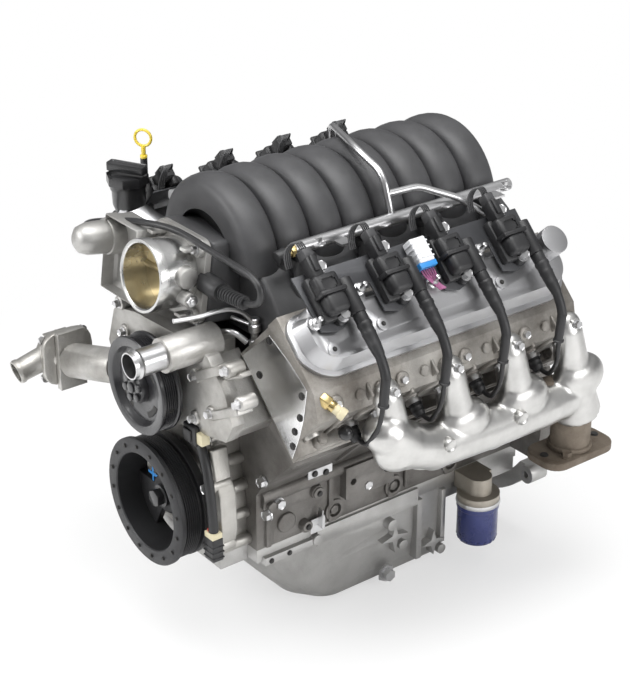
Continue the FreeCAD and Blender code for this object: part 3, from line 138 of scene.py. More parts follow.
class Recipe:
    """The nodes of one finish, starting from the surface's own place in the engine."""

    def __init__(self, name):
        self.material = bpy.data.materials.new(name)
        self.material.use_nodes = True
        self.tree = self.material.node_tree
        self.shader = self.tree.nodes["Principled BSDF"]
        self.place = self.add("ShaderNodeTexCoord", output="Object")

    def add(self, kind, settings=None, inputs=None, output=0):
        """One node: its settings first, then the values or links of its sockets."""
        node = self.tree.nodes.new(kind)
        for key, value in (settings or {}).items():
            setattr(node, key, value)
        for key, value in (inputs or {}).items():
            self.feed(node.inputs[key], value)
        return Value(self, node.outputs[output])

    def feed(self, socket, value):
        """Link a socket to another one's value, or give it a constant."""
        if isinstance(value, Value):
            self.tree.links.new(value.socket, socket)
        else:
            socket.default_value = value

    def noise(self, scale, detail, roughness):
        """Cloudy noise from 0 to 1, with about scale clouds in a metre."""
        return self.add("ShaderNodeTexNoise", {}, {"Vector": self.place, "Scale": scale,
                                                   "Detail": detail, "Roughness": roughness})

    def blend(self, share, first, second):
        """A colour between two others."""
        return self.add("ShaderNodeMix", {"data_type": "RGBA"}, {0: share, 6: first, 7: second}, output=2)

    def relief(self, height, depth):
        """A Bump node, with its depth in metres."""
        return self.add("ShaderNodeBump", {}, {"Height": height, "Distance": depth, "Strength": 1.0})

    def finish(self, **sockets):
        """Feed the shader: colour, roughness and the rest by the names of its sockets."""
        for name, value in sockets.items():
            self.feed(self.shader.inputs[name.replace("_", " ").title()], value)
        return self.material


def rgb(red, green, blue):
    """A solid colour, as sockets want it."""
    return (red, green, blue, 1.0)


print("recipe ready")

# %% [markdown]
# Most of the engine is sand cast: molten metal poured into a mould of packed sand. Its skin keeps
# the grain of the sand, and dirt and oil settle in patches. So one recipe serves all castings:
# broad clouds for stains, fine noise for the sand, and both of them also change the roughness.


# %% Castings
def casting(name, light, dark, grain=900.0, depth=0.00025, metallic=0.7, roughness=0.5, stain=0.5):
    """A sand-cast skin: stains between two colours over a fine, shallow grain."""
    recipe = Recipe(name)
    clouds = recipe.noise(14.0, 5.0, 0.6)
    sand = recipe.noise(grain, 3.0, 0.6)
    pits = recipe.noise(grain * 0.25, 2.0, 0.5)
    share = (clouds.between(0.38, 0.68) * stain + sand * 0.25).between(0.0, 1.0)
    bumps = recipe.relief(sand * 0.6 + pits * 0.6, depth)
    return recipe.finish(base_color=recipe.blend(share, rgb(*light), rgb(*dark)), metallic=metallic,
                         roughness=clouds * 0.18 + sand * 0.12 + (roughness - 0.15), normal=bumps)


# light and dark colour, grains to the metre, depth of the grain, metallic, roughness, stain
CASTINGS = {
    "cast_aluminium": ((0.50, 0.49, 0.465), (0.30, 0.285, 0.26), 700.0, 0.0004, 0.85, 0.40),
    "cover_aluminium": ((0.52, 0.52, 0.53), (0.42, 0.42, 0.43), 1500.0, 0.00012, 0.95, 0.33, 0.4),
    "pan_aluminium": ((0.46, 0.455, 0.445), (0.27, 0.265, 0.255), 600.0, 0.0004, 0.8, 0.44),
    "adapter_aluminium": ((0.42, 0.39, 0.34), (0.26, 0.23, 0.19), 600.0, 0.0004, 0.8, 0.46),
    "block_iron": ((0.215, 0.206, 0.195), (0.095, 0.088, 0.080), 520.0, 0.0006, 0.7, 0.5, 0.8),
    # the heads' casting: darker than the cast aluminium, partly grime in patches and partly painted shade for
    # their shadowed sides
    "head_cast": ((0.40, 0.385, 0.36), (0.15, 0.135, 0.118), 520.0, 0.0007, 0.75, 0.5, 0.8),
    "pump_cast": ((0.56, 0.55, 0.53), (0.30, 0.29, 0.27), 620.0, 0.0005, 0.85, 0.42, 0.9),
    "damper_black": ((0.028, 0.028, 0.030), (0.016, 0.016, 0.017), 900.0, 0.0002, 0.3, 0.5, 0.4),
    "rusty_iron": ((0.23, 0.195, 0.155), (0.10, 0.075, 0.055), 420.0, 0.0008, 0.35, 0.68, 0.9),
    "throttle_aluminium": ((0.47, 0.465, 0.45), (0.30, 0.29, 0.275), 1000.0, 0.0003, 0.8, 0.46, 0.6),
}
finishes = {name: casting(name, *settings) for name, settings in CASTINGS.items()}
print("castings:", len(finishes))

# %% [markdown]
# Turned and rolled steel is brighter and carries fine marks instead of grain. Moulded plastic,
# rubber and paint are the other way round: nearly one colour, with the life in their roughness.


# %% Bright metal, plastic, rubber and paint
def bright_metal(name, colour, roughness=0.25, marks=260.0, metallic=1.0):
    """Machined or plated metal with faint drawn marks and smudges."""
    recipe = Recipe(name)
    stretched = recipe.add("ShaderNodeMapping", {}, {"Vector": recipe.place, "Scale": (marks, 18.0, marks)})
    streaks = recipe.add("ShaderNodeTexNoise", {}, {"Vector": stretched, "Scale": 1.0, "Detail": 2.0})
    smudges = recipe.noise(30.0, 4.0, 0.6)
    darker = tuple(c * 0.78 for c in colour)
    share = (smudges.between(0.4, 0.75) * 0.7 + streaks * 0.3).between(0.0, 1.0)
    return recipe.finish(base_color=recipe.blend(share, rgb(*colour), rgb(*darker)), metallic=metallic,
                         roughness=streaks * 0.12 + smudges * 0.14 + (roughness - 0.12),
                         normal=recipe.relief(streaks, 0.00005))


def moulded(name, colour, roughness=0.5, grain=1800.0, depth=0.00012, coat=0.0, metallic=0.0, lift=1.35):
    """A moulded or painted skin: even colour, fine grain and a little variation in gloss."""
    recipe = Recipe(name)
    smudges = recipe.noise(22.0, 4.0, 0.6)
    fine = recipe.noise(grain, 2.0, 0.6)
    paler = tuple(min(1.0, c * lift + 0.004) for c in colour)
    return recipe.finish(base_color=recipe.blend(smudges.between(0.35, 0.75), rgb(*colour), rgb(*paler)),
                         metallic=metallic, roughness=smudges * 0.16 + fine * 0.08 + (roughness - 0.12),
                         coat_weight=coat, coat_roughness=0.12, normal=recipe.relief(fine, depth))


# colour, roughness, drawn marks to the metre, metallic
METALS = {
    "bright_steel": ((0.60, 0.60, 0.605), 0.30),
    "forged_steel": ((0.42, 0.42, 0.43), 0.36),
    "chain_steel": ((0.30, 0.30, 0.31), 0.4),
    "throttle_ring": ((0.66, 0.66, 0.65), 0.24, 60.0),
    "machined_face": ((0.80, 0.80, 0.80), 0.2, 420.0),
    "piston_aluminium": ((0.66, 0.66, 0.66), 0.3),
    "gasket_grey": ((0.22, 0.22, 0.22), 0.45),
    "blade_brass": ((0.62, 0.50, 0.27), 0.3),
    "brass_fitting": ((0.60, 0.47, 0.22), 0.28),
    "shield_steel": ((0.60, 0.595, 0.58), 0.34, 90.0),
}
# colour, roughness, grains to the metre, depth of the grain, coat, metallic, how much paler in patches
MOULDINGS = {
    "cap_black": ((0.014, 0.014, 0.015), 0.3, 1500.0, 0.00006, 0.25),
    "black_plastic": ((0.042, 0.042, 0.044), 0.46),
    "coil_black": ((0.012, 0.012, 0.013), 0.42),
    "black_rubber": ((0.012, 0.012, 0.013), 0.48, 900.0),
    "bracket_grey": ((0.055, 0.056, 0.06), 0.42, 900.0, 0.0001, 0.0, 0.5),
    "tube_black": ((0.015, 0.015, 0.016), 0.35),
    "pulley_black": ((0.016, 0.016, 0.018), 0.3, 1200.0, 0.00008, 0.3),
    "yellow_plastic": ((0.72, 0.55, 0.06), 0.35, 600.0, 0.00001, 0.2, 0.0, 1.05),
    "cream_plastic": ((0.62, 0.56, 0.38), 0.4, 900.0, 0.00005, 0.1, 0.0, 1.05),
    "white_plastic": ((0.72, 0.73, 0.75), 0.4, 900.0, 0.00005, 0.1, 0.0, 1.05),
    "blue_plastic": ((0.03, 0.22, 0.55), 0.4, 900.0, 0.00005, 0.1, 0.0, 1.1),
    "red_plastic": ((0.42, 0.03, 0.02), 0.4, 900.0, 0.00005, 0.1, 0.0, 1.1),
    "pink_wire": ((0.32, 0.10, 0.22), 0.45, 900.0, 0.00005, 0.0, 0.0, 1.2),
    # painted shade: a near-black finish that stands in for the shade inside drilled holes, the gas way and
    # the pulley's slot openings
    "hole_dark": ((0.02, 0.019, 0.018), 0.6),
    "navy_paint": ((0.012, 0.022, 0.13), 0.28, 700.0, 0.00006, 0.6, 0.1, 1.2),
}
finishes.update({name: bright_metal(name, *settings) for name, settings in METALS.items()})
finishes.update({name: moulded(name, *settings) for name, settings in MOULDINGS.items()})
print("finishes:", len(finishes))

# %% [markdown]
# The solid model already says which finish belongs to which part: its record lists a material
# slot for each. We give every part its finish from that list, so none is left with a flat colour.

# %% Finishes on the solid model's own parts
slot_of = {part["node"]: part["material_slot"] for part in frame["record"]["subparts"]}
for name, part in NODES.items():
    part.data.materials.clear()
    part.data.materials.append(finishes[slot_of[name]])
print("parts with a finish:", len(slot_of))

# %% [markdown]
# The engine's two cylinder banks lean 45 degrees out from the crankshaft. It is far easier to
# model a coil or a cover lying level and then lean it over, so each bank gets a matrix: x points
# out across the bank, y along the crankshaft and z up the bank. The right bank is a mirror image.

# %% Bank directions
SLANT = math.sqrt(0.5)
BANK_STAGGER = 0.0244
BANKS = {
    "left": Matrix(((SLANT, 0, SLANT, 0), (0, 1, 0, 0), (-SLANT, 0, SLANT, 0), (0, 0, 0, 1))),
    "right": Matrix(((-SLANT, 0, -SLANT, 0), (0, 1, 0, BANK_STAGGER), (-SLANT, 0, SLANT, 0), (0, 0, 0, 1))),
}
UPRIGHT = Matrix.Identity(4)
HEAD_FOOT, COVER_TOP = 0.236, 0.388
BORE_SPACING = 0.11176
REAR_BORE = -0.1247
LEFT_BORES = [REAR_BORE - (3 - k) * BORE_SPACING for k in range(4)]
print("left bores at y =", [round(y, 4) for y in LEFT_BORES])

# %% [markdown]
# Nearly every piece below follows the same steps: add a primitive, pick some of its faces by where
# they are, and extrude, inset or bevel them. A few short tools save writing those steps each time,
# and others copy a finished piece to its bank, give it a finish and let it ride on its body.


# %% Tools: add, pick, move on, finish
RING_SEAT, RING_RISE, HOLE_DEPTH, TINY = 0.001, 0.0008, 0.0015, 0.00001


def leave():
    """Back from edit mode to object mode."""
    bpy.ops.object.mode_set(mode="OBJECT")


def deselect():
    """Object mode, with nothing selected."""
    if bpy.context.object and bpy.context.object.mode != "OBJECT":
        leave()
    bpy.ops.object.select_all(action="DESELECT")


def choose(piece):
    """Object mode, with just one piece selected and active."""
    deselect()
    piece.select_set(True)
    bpy.context.view_layer.objects.active = piece


def add(kind, name, **settings):
    """A mesh primitive with nothing else selected."""
    deselect()
    getattr(bpy.ops.mesh, "primitive_" + kind + "_add")(**settings)
    piece = bpy.context.object
    piece.name = name
    bpy.ops.object.transform_apply(location=True, rotation=True, scale=True)
    return piece


def block(name, low, high):
    """A box between two corners."""
    middle = [(a + b) / 2 for a, b in zip(low, high)]
    return add("cube", name, size=1, location=middle, scale=[b - a for a, b in zip(low, high)])


def drum(name, foot, top, radius, sides=24, second=None):
    """A cylinder or cone from one point to another."""
    foot, top = Vector(foot), Vector(top)
    turn = (top - foot).to_track_quat("Z", "Y").to_euler()
    second = radius if second is None else second
    return add("cone", name, vertices=sides, radius1=radius, radius2=second, depth=(top - foot).length,
               location=(foot + top) / 2, rotation=turn)


def pick(piece, test):
    """Edit mode, with just the faces selected whose middle and normal pass the test."""
    bpy.ops.object.mode_set(mode="EDIT")
    bpy.ops.mesh.select_mode(type="FACE")
    bpy.ops.mesh.select_all(action="DESELECT")
    mesh = bmesh.from_edit_mesh(piece.data)
    mesh.faces.ensure_lookup_table()
    for face in mesh.faces:
        face.select_set(bool(test(face.calc_center_median(), face.normal)))
    bmesh.update_edit_mesh(piece.data)


def push(distance, scale=1.0, inset=0.0):
    """Inset the picked faces, extrude them along their normal, and scale them there."""
    if inset:
        bpy.ops.mesh.inset(thickness=inset)
    if distance:
        bpy.ops.mesh.extrude_region_shrink_fatten(TRANSFORM_OT_shrink_fatten={"value": -distance})
    if scale != 1.0:
        bpy.ops.transform.resize(value=(scale, scale, scale))


def join(name, pieces):
    """Several pieces as one."""
    deselect()
    for piece in pieces:
        piece.select_set(True)
    bpy.context.view_layer.objects.active = pieces[0]
    bpy.ops.object.join()
    pieces[0].name = name
    return pieces[0]


def round_edges(piece, width, segments=2, angle=35):
    """Bevel every edge that is sharper than an angle, as a mould or a file leaves it."""
    choose(piece)
    bevel = piece.modifiers.new("rounded", "BEVEL")
    bevel.width, bevel.segments = width, segments
    bevel.limit_method, bevel.angle_limit = "ANGLE", math.radians(angle)
    bevel.use_clamp_overlap = True
    bpy.ops.object.modifier_apply(modifier=bevel.name)
    return piece


def soft_box(name, low, high, width, segments=2):
    """A box with rounded edges."""
    return round_edges(block(name, low, high), width, segments)


def soft_drum(name, foot, top, radius, sides, width, segments=2):
    """A cylinder with rounded rims."""
    return round_edges(drum(name, foot, top, radius, sides), width, segments)


def round_corners(piece, width, segments=6):
    """Bevel only the upright edges of a box."""
    pick(piece, lambda middle, normal: False)
    bpy.ops.mesh.select_mode(type="EDGE")
    mesh = bmesh.from_edit_mesh(piece.data)
    for edge in mesh.edges:
        low, high = (corner.co for corner in edge.verts)
        edge.select_set(abs(low.x - high.x) + abs(low.y - high.y) < TINY)
    bmesh.update_edit_mesh(piece.data)
    bpy.ops.mesh.bevel(offset=width, segments=segments)
    leave()
    return piece


def settle(piece, matrix):
    """Move a piece's mesh by a matrix; a mirror image is turned the right way out again."""
    deselect()
    piece.data.transform(matrix)
    if matrix.determinant() < 0:
        piece.data.flip_normals()
    piece.data.update()
    return piece


def twin(piece, name, matrix):
    """A copy with its own mesh, moved by a matrix."""
    other = bpy.data.objects.new(name, piece.data.copy())
    bpy.context.scene.collection.objects.link(other)
    return settle(other, matrix)


def fit(piece, finish, body="engine", replaced=(), smooth=40, name=None):
    """Give a piece its finish and let it ride on its body."""
    choose(piece)
    if name:
        piece.name = name
    bpy.ops.object.shade_smooth_by_angle(angle=math.radians(smooth))
    piece.data.materials.clear()
    piece.data.materials.append(finishes[finish])
    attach(piece, body)
    finish in slot_of.values()
    if replaced:
        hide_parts(*replaced)
    return piece


def stand(pattern, name, places):
    """Copies of one pattern, each stood on a place along an axis, as one piece."""
    copies = []
    for place, axis in places:
        turn = Vector(axis).to_track_quat("Z", "Y").to_matrix().to_4x4()
        copies.append(twin(pattern, name, Matrix.Translation(place) @ turn))
    return join(name, copies)


def remove(*pieces):
    """Delete patterns that have been copied."""
    for piece in pieces:
        bpy.data.objects.remove(piece, do_unlink=True)


def both_sides(places, rows):
    """Copies of each pattern on both sides of the engine: name, pattern, finish, smooth, solid part."""
    for side, matrix in places.items():
        for name, pattern, finish, smooth, solid in rows:
            replaced = (solid + "_" + side,) if solid else ()
            fit(twin(pattern, name + "_" + side, matrix), finish, replaced=replaced, smooth=smooth)
    remove(*(row[1] for row in rows))


def tube(name, points, radius, sides=10, bend=6):
    """A pipe or hose along a smooth curve through its bends."""
    curve = bpy.data.curves.new(name, "CURVE")
    curve.dimensions = "3D"
    spline = curve.splines.new("NURBS")
    spline.points.add(len(points) - 1)
    for control, point in zip(spline.points, points):
        control.co = (*point, 1.0)
    spline.order_u = 3
    spline.use_endpoint_u = True
    curve.resolution_u = bend
    curve.bevel_depth = radius
    curve.bevel_resolution = max(1, sides // 4)
    curve.use_fill_caps = True
    holder = bpy.data.objects.new(name, curve)
    bpy.context.scene.collection.objects.link(holder)
    choose(holder)
    bpy.ops.object.convert(target="MESH")
    return bpy.context.object


def hole(name, centre, aim, radius, lip=0.0012):
    """A drilled hole: a low ring whose middle is inset and pushed down a little; the shade deep in the hole
    is painted by the near-black finish it is given.
    """
    centre, aim = Vector(centre), Vector(aim).normalized()
    ring = drum(name, centre - aim * RING_SEAT, centre + aim * RING_RISE, radius + lip, 20)
    pick(ring, lambda middle, normal: normal.dot(aim) > 0.9)
    push(0, inset=lip)
    push(-HOLE_DEPTH)
    leave()
    return ring


print("tools ready")

# %% [markdown]
# A flange bolt has a wide round foot, a hexagon and a slightly domed top. It is modelled once,
# standing up at the origin, and every bolt of the engine is a copy of it.


# %% The bolt patterns
def flange_bolt(name, across, height):
    """A flange bolt standing on the origin."""
    foot = drum(name, (0, 0, 0), (0, 0, height * 0.22), across * 0.68, 20)
    pick(foot, lambda middle, normal: normal.z > 0.9)
    push(0, inset=across * 0.08)
    leave()
    head = drum(name, (0, 0, height * 0.2), (0, 0, height), across * 0.577, 6)
    pick(head, lambda middle, normal: normal.z > 0.9)
    push(height * 0.10, 0.84)
    leave()
    return join(name, [foot, head])


bolt_10 = flange_bolt("bolt_10", 0.010, 0.008)
bolt_13 = flange_bolt("bolt_13", 0.013, 0.009)
print("bolt faces:", len(bolt_10.data.polygons))

# %% [markdown]
# The solid model's castings have knife-sharp edges. Real ones leave their mould with rounded
# edges, and those edges are what catches the light. We copy each casting, join the loose
# triangles that came with it, clear the needless edges off its flat faces and round the rest.


# %% Castings with rounded edges
SAME_POINT, FLAT_ANGLE, SHARP_ANGLE = 0.00002, 4, 32
# the heads take the darker casting, whose low tone is partly painted shade
own_finish = {"cylinder_head_left": "head_cast", "cylinder_head_right": "head_cast",
              "water_pump": "pump_cast"}


def cast_copy(node, width):
    """A copy of a solid part with its edges rounded, standing for that part."""
    copy = bpy.data.objects.new("cast_" + node, NODES[node].data.copy())
    bpy.context.scene.collection.objects.link(copy)
    choose(copy)
    bpy.ops.object.mode_set(mode="EDIT")
    bpy.ops.mesh.select_all(action="SELECT")
    bpy.ops.mesh.remove_doubles(threshold=SAME_POINT)
    bpy.ops.mesh.dissolve_limited(angle_limit=math.radians(FLAT_ANGLE))
    leave()
    round_edges(copy, width, 2, SHARP_ANGLE)
    body = next(name for name, part in frame["record"]["behaviour"]["bodies"].items() if node in part)
    finish = own_finish.get(node, slot_of[node])
    return fit(copy, finish, body, (node,), smooth=38)


EDGE_WIDTHS = {
    "engine_block": 0.0022, "oil_pan": 0.002, "front_cover": 0.0014, "water_pump": 0.0024,
    "cylinder_head_left": 0.0018, "cylinder_head_right": 0.0018, "valve_cover_left": 0.0022,
    "valve_cover_right": 0.0022, "filter_adapter": 0.002, "coil_bracket_left": 0.0008,
    "coil_bracket_right": 0.0008,
}
for node, width in EDGE_WIDTHS.items():
    cast = cast_copy(node, width)
    print(cast.name, len(cast.data.polygons), "faces")

# %% [markdown]
# The intake manifold is the biggest black form: eight runners arch over it like ribs, each a
# swollen half ring of moulded plastic. A half ring is a profile spun half a turn, so we draw the
# crown of one runner and spin it about the long axis, then repeat it eight times down the engine.

# %% The arched runners of the intake
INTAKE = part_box("intake_manifold")
ARCH_RADIUS = 0.110
ARCH_CENTRE = INTAKE[1].z - ARCH_RADIUS
ARCH_FRONT = -0.490
ARCH_WIDTH = BORE_SPACING / 2
ARCH_DIP = 0.022
CROWN_POINTS = 11


def outline_piece(name, points):
    """An object whose mesh is a chain of edges through some points, ready to be spun or extruded."""
    mesh = bpy.data.meshes.new(name)
    mesh.from_pydata(points, [(k, k + 1) for k in range(len(points) - 1)], [])
    piece = bpy.data.objects.new(name, mesh)
    bpy.context.scene.collection.objects.link(piece)
    choose(piece)
    bpy.ops.object.mode_set(mode="EDIT")
    bpy.ops.mesh.select_all(action="SELECT")
    return piece


def close_up():
    """Merge doubles, fill open ends and turn the faces outwards, then leave edit mode."""
    bpy.ops.mesh.select_all(action="SELECT")
    bpy.ops.mesh.remove_doubles(threshold=TINY)
    bpy.ops.mesh.fill_holes(sides=0)
    bpy.ops.mesh.select_all(action="SELECT")
    bpy.ops.mesh.normals_make_consistent(inside=False)
    leave()


def runner_arch(name, y):
    """One runner: a rounded crown spun half a turn over the plenum."""
    foot = ARCH_RADIUS - 0.045
    crown = [(foot, y - ARCH_WIDTH * 0.49, ARCH_CENTRE)]
    for k in range(CROWN_POINTS):
        turn = math.pi * k / (CROWN_POINTS - 1)
        dip = ARCH_DIP * (1 - math.sin(turn) ** 0.6)
        crown.append((ARCH_RADIUS - dip, y - math.cos(turn) * ARCH_WIDTH * 0.49, ARCH_CENTRE))
    crown.append((foot, y + ARCH_WIDTH * 0.49, ARCH_CENTRE))
    arch = outline_piece(name, crown)
    bpy.ops.mesh.spin(steps=30, angle=math.pi, center=(0, y, ARCH_CENTRE), axis=(0, 1, 0))
    close_up()
    return arch


def thicken(piece, move, width, segments):
    """Fill a piece's outline with a face, extrude that face along a vector, and round its edges."""
    bpy.ops.mesh.edge_face_add()
    bpy.ops.mesh.extrude_region_move(TRANSFORM_OT_translate={"value": move})
    close_up()
    return round_edges(piece, width, segments)


def prism(name, outline, front, rear, width, segments=3):
    """A flat outline in x and z, extruded from front to rear, with rounded edges."""
    piece = outline_piece(name, [(x, front, z) for x, z in outline])
    return thicken(piece, (0, rear - front, 0), width, segments)


ARCH_LINES = [ARCH_FRONT + k * ARCH_WIDTH for k in range(8)]
pieces = [runner_arch("runner", y) for y in ARCH_LINES]
BASE_SIDE = [(0.0907, 0.2544), (0.0997, 0.2454), (0.1549, 0.3005), (0.1459, 0.3095), (0.118, 0.345),
             (0.100, 0.356)]
base = BASE_SIDE + [(-x, z) for x, z in reversed(BASE_SIDE)]
pieces.append(prism("intake_base", base, INTAKE[0].y + 0.058, INTAKE[1].y, 0.004))
SHOULDER = ((0.098, 0.33), (0.098, 0.372), (0.116, 0.366), (0.136, 0.318))
for k, y in enumerate(ARCH_LINES):
    side = 1 if k % 2 else -1
    pieces.append(prism("shoulder", [(side * x, z) for x, z in SHOULDER], y - 0.021, y + 0.021, 0.004))
RAIL_X = 0.128
towers = [(RAIL_X, y + 0.008) for y in LEFT_BORES]
towers += [(-RAIL_X, y + 0.008 + BANK_STAGGER) for y in LEFT_BORES]
for x, y in towers:
    tower = drum("tower", (x, y, 0.318), (x, y, 0.346), 0.0125, 20)
    pick(tower, lambda middle, normal: normal.z > 0.9)
    push(0.003, 0.82)
    leave()
    pieces.append(tower)
THROTTLE_LEAN = math.radians(82)
THROTTLE = Matrix.Translation((0, -0.551, ARCH_CENTRE - 0.013)) @ Matrix.Rotation(THROTTLE_LEAN, 4, "X")
snout = soft_box("snout", (-0.060, -0.058, -0.064), (0.060, 0.058, 0.0), 0.006, 3)
cutter = drum("cutter", (0, 0, -0.058), (0, 0, 0.010), 0.0460, 40)
bore = snout.modifiers.new("bore", "BOOLEAN")
bore.operation, bore.object = "DIFFERENCE", cutter
choose(snout)
bpy.ops.object.modifier_apply(modifier=bore.name)
remove(cutter)
pieces.append(settle(snout, THROTTLE))
intake = fit(join("intake", pieces), "black_plastic", replaced=("intake_manifold",), smooth=50)
print("intake faces:", len(intake.data.polygons))

# %% [markdown]
# Each cylinder has its own ignition coil: a black case potted with resin, cooled by thin ribs,
# with a tower for the plug lead at one end and the wiring connector at the other. It is modelled
# once, lying level in bank directions, and copied to all eight cylinders.

# %% One ignition coil
COIL_FOOT = COVER_TOP + 0.007
COIL_HEIGHT = 0.030
COIL_YS = [-0.472 + k * 0.1053 for k in range(4)]
LEAD_LEVEL = COVER_TOP + 0.022


def coil_case():
    """The potted case of a coil with its foot, ears, tower and connector shell."""
    top = COIL_FOOT + COIL_HEIGHT
    foot = soft_box("coil", (-0.128, -0.025, COIL_FOOT), (-0.064, 0.017, COIL_FOOT + 0.014), 0.003)
    case = soft_box("case", (-0.124, -0.0225, COIL_FOOT + 0.010), (-0.094, 0.0145, top), 0.005, 3)
    pick(case, lambda middle, normal: normal.z > 0.95)
    push(0.002, inset=0.005)
    leave()
    pot = soft_box("pot", (-0.097, -0.0205, COIL_FOOT + 0.008), (-0.068, 0.0125, top + 0.003), 0.008, 4)
    band = soft_box("band", (-0.1005, -0.0245, COIL_FOOT + 0.010), (-0.094, 0.0165, top + 0.0045), 0.0022)
    parts = [foot, case, pot, band]
    for foot, top, radius, width in (
        ((-0.137, 0.004, COIL_FOOT), (-0.137, 0.004, COIL_FOOT + 0.013), 0.0095, 0.0015),
        ((-0.066, 0.004, COIL_FOOT), (-0.066, 0.004, COIL_FOOT + 0.013), 0.0095, 0.0015),
        ((-0.112, 0.026, LEAD_LEVEL), (-0.062, 0.026, LEAD_LEVEL), 0.0115, 0.002),
        ((-0.066, 0.0265, LEAD_LEVEL), (-0.044, 0.027, LEAD_LEVEL), 0.0095, 0.001),
    ):
        parts.append(soft_drum("round", foot, top, radius, 24, width))
    for low, high, width in (
        ((-0.152, -0.017, COIL_FOOT + 0.006), (-0.122, -0.001, COIL_FOOT + 0.026), 0.002),
        ((-0.152, -0.013, COIL_FOOT + 0.025), (-0.130, -0.006, COIL_FOOT + 0.030), 0.001),
    ):
        parts.append(soft_box("shell", low, high, width))
    return join("coil", parts)


def coil_plug():
    """The wiring connector that pushes into the coil's shell, with a loop of loom behind it."""
    low, high = (-0.164, -0.016, COIL_FOOT + 0.007), (-0.150, -0.002, COIL_FOOT + 0.025)
    parts = [soft_box("plug", low, high, 0.0018)]
    for v in (-0.0135, -0.0105, -0.0075, -0.0045):
        parts.append(tube("wire", [(-0.162, v, COIL_FOOT + 0.016), (-0.176, v, COIL_FOOT + 0.021),
                                   (-0.178, v - 0.012, COIL_FOOT + 0.014),
                                   (-0.166, v - 0.020, COIL_FOOT + 0.003),
                                   (-0.152, v - 0.018, COIL_FOOT - 0.004)], 0.0012, 6, 5))
    return join("plug", parts)


case, plug = coil_case(), coil_plug()
for side, matrix in BANKS.items():
    shift = [Matrix.Translation((0, y, 0)) for y in COIL_YS]
    coils = [twin(case, "coil", matrix @ move) for move in shift]
    plugs = [twin(plug, "plug", matrix @ move) for move in shift]
    fit(join("coils_" + side, coils), "coil_black", replaced=("ignition_coils_" + side,))
    fit(join("coil_plugs_" + side, plugs), "black_plastic")
remove(case, plug)
print("coils placed on", len(BANKS), "banks")

# %% [markdown]
# The plug leads carry tens of thousands of volts, so their ends sit in thick rubber boots. A boot
# is a turned form: we draw half of its section and spin it a full turn about the lead.


# %% Leads and boots
def turned(name, section, foot, top, steps=20):
    """A section of (radius, share of the length) pairs spun about the line from foot to top."""
    foot, top = Vector(foot), Vector(top)
    length = (top - foot).length
    piece = outline_piece(name, [(radius, 0, share * length) for radius, share in section])
    bpy.ops.mesh.spin(steps=steps, angle=2 * math.pi, center=(0, 0, 0), axis=(0, 0, 1))
    close_up()
    turn = (top - foot).to_track_quat("Z", "Y").to_matrix().to_4x4()
    return settle(piece, Matrix.Translation(foot) @ turn)


PLUG_OFFSET, PLUG_LEVEL, PORT_FACE = 0.014, HEAD_FOOT + 0.042, 0.042
BOOT = ((0.0, 0), (0.0088, 0), (0.0104, 0.04), (0.0104, 0.12), (0.0094, 0.16), (0.0094, 0.30),
        (0.0100, 0.34), (0.0094, 0.38), (0.0088, 0.62), (0.0092, 0.66), (0.0088, 0.70), (0.0075, 0.92),
        (0.0062, 1.0), (0.0, 1.0))
SLEEVE = ((0.0, 1.0), (0.0068, 1.0), (0.0066, 0.30), (0.0064, 0.22), (0.0064, 0.08), (0.0078, 0.06),
          (0.0078, 0.01), (0.0058, 0), (0.0, 0))
rubber, leads, rings = [], [], []
for coil_y, bore_y in zip(COIL_YS, LEFT_BORES):
    y, plug_y = coil_y + 0.027, bore_y + PLUG_OFFSET
    rubber.append(turned("boot", BOOT, (-0.050, y, LEAD_LEVEL), (0.002, y, LEAD_LEVEL)))
    knee = [(-0.004, y, LEAD_LEVEL), (0.020, y, LEAD_LEVEL - 0.003), (0.031, y, LEAD_LEVEL - 0.013)]
    rubber.append(tube("knee", knee, 0.0068, 16, 8))
    rubber.append(turned("sleeve", SLEEVE, (0.056, y, LEAD_LEVEL - 0.044), (0.028, y, LEAD_LEVEL - 0.010)))
    rubber.append(turned("plug_boot", BOOT, (PORT_FACE + 0.007, plug_y, PLUG_LEVEL),
                         (PORT_FACE + 0.030, plug_y, PLUG_LEVEL)))
    rings.append(turned("ring", ((0.0, 0), (0.0122, 0), (0.0122, 1), (0.0, 1)),
                        (PORT_FACE + 0.002, plug_y, PLUG_LEVEL),
                        (PORT_FACE + 0.010, plug_y, PLUG_LEVEL)))
    leads.append(tube("lead", [(0.030, y, LEAD_LEVEL - 0.012), (0.056, y, LEAD_LEVEL - 0.044),
                               (0.076, y + (plug_y - y) * 0.5, LEAD_LEVEL - 0.074),
                               (0.082, plug_y, LEAD_LEVEL - 0.104), (0.084, plug_y, PLUG_LEVEL + 0.010),
                               (0.062, plug_y, PLUG_LEVEL)], 0.0034, 12, 8))
for side, matrix in BANKS.items():
    fit(join("boots_" + side, [twin(piece, "boot", matrix) for piece in rubber]), "black_rubber",
        replaced=("plug_wires_" + side,))
    fit(join("leads_" + side, [twin(piece, "lead", matrix) for piece in leads]), "black_rubber")
    fit(join("boot_rings_" + side, [twin(piece, "ring", matrix) for piece in rings]), "bright_steel")
remove(*rubber, *leads, *rings)
print("leads:", len(leads) * 2)

# %% [markdown]
# Between the coils the dark stamped bracket shows its threaded studs, and one white harness
# connector with blue trim is clipped there. Bright studs and one cool colour break up the black.

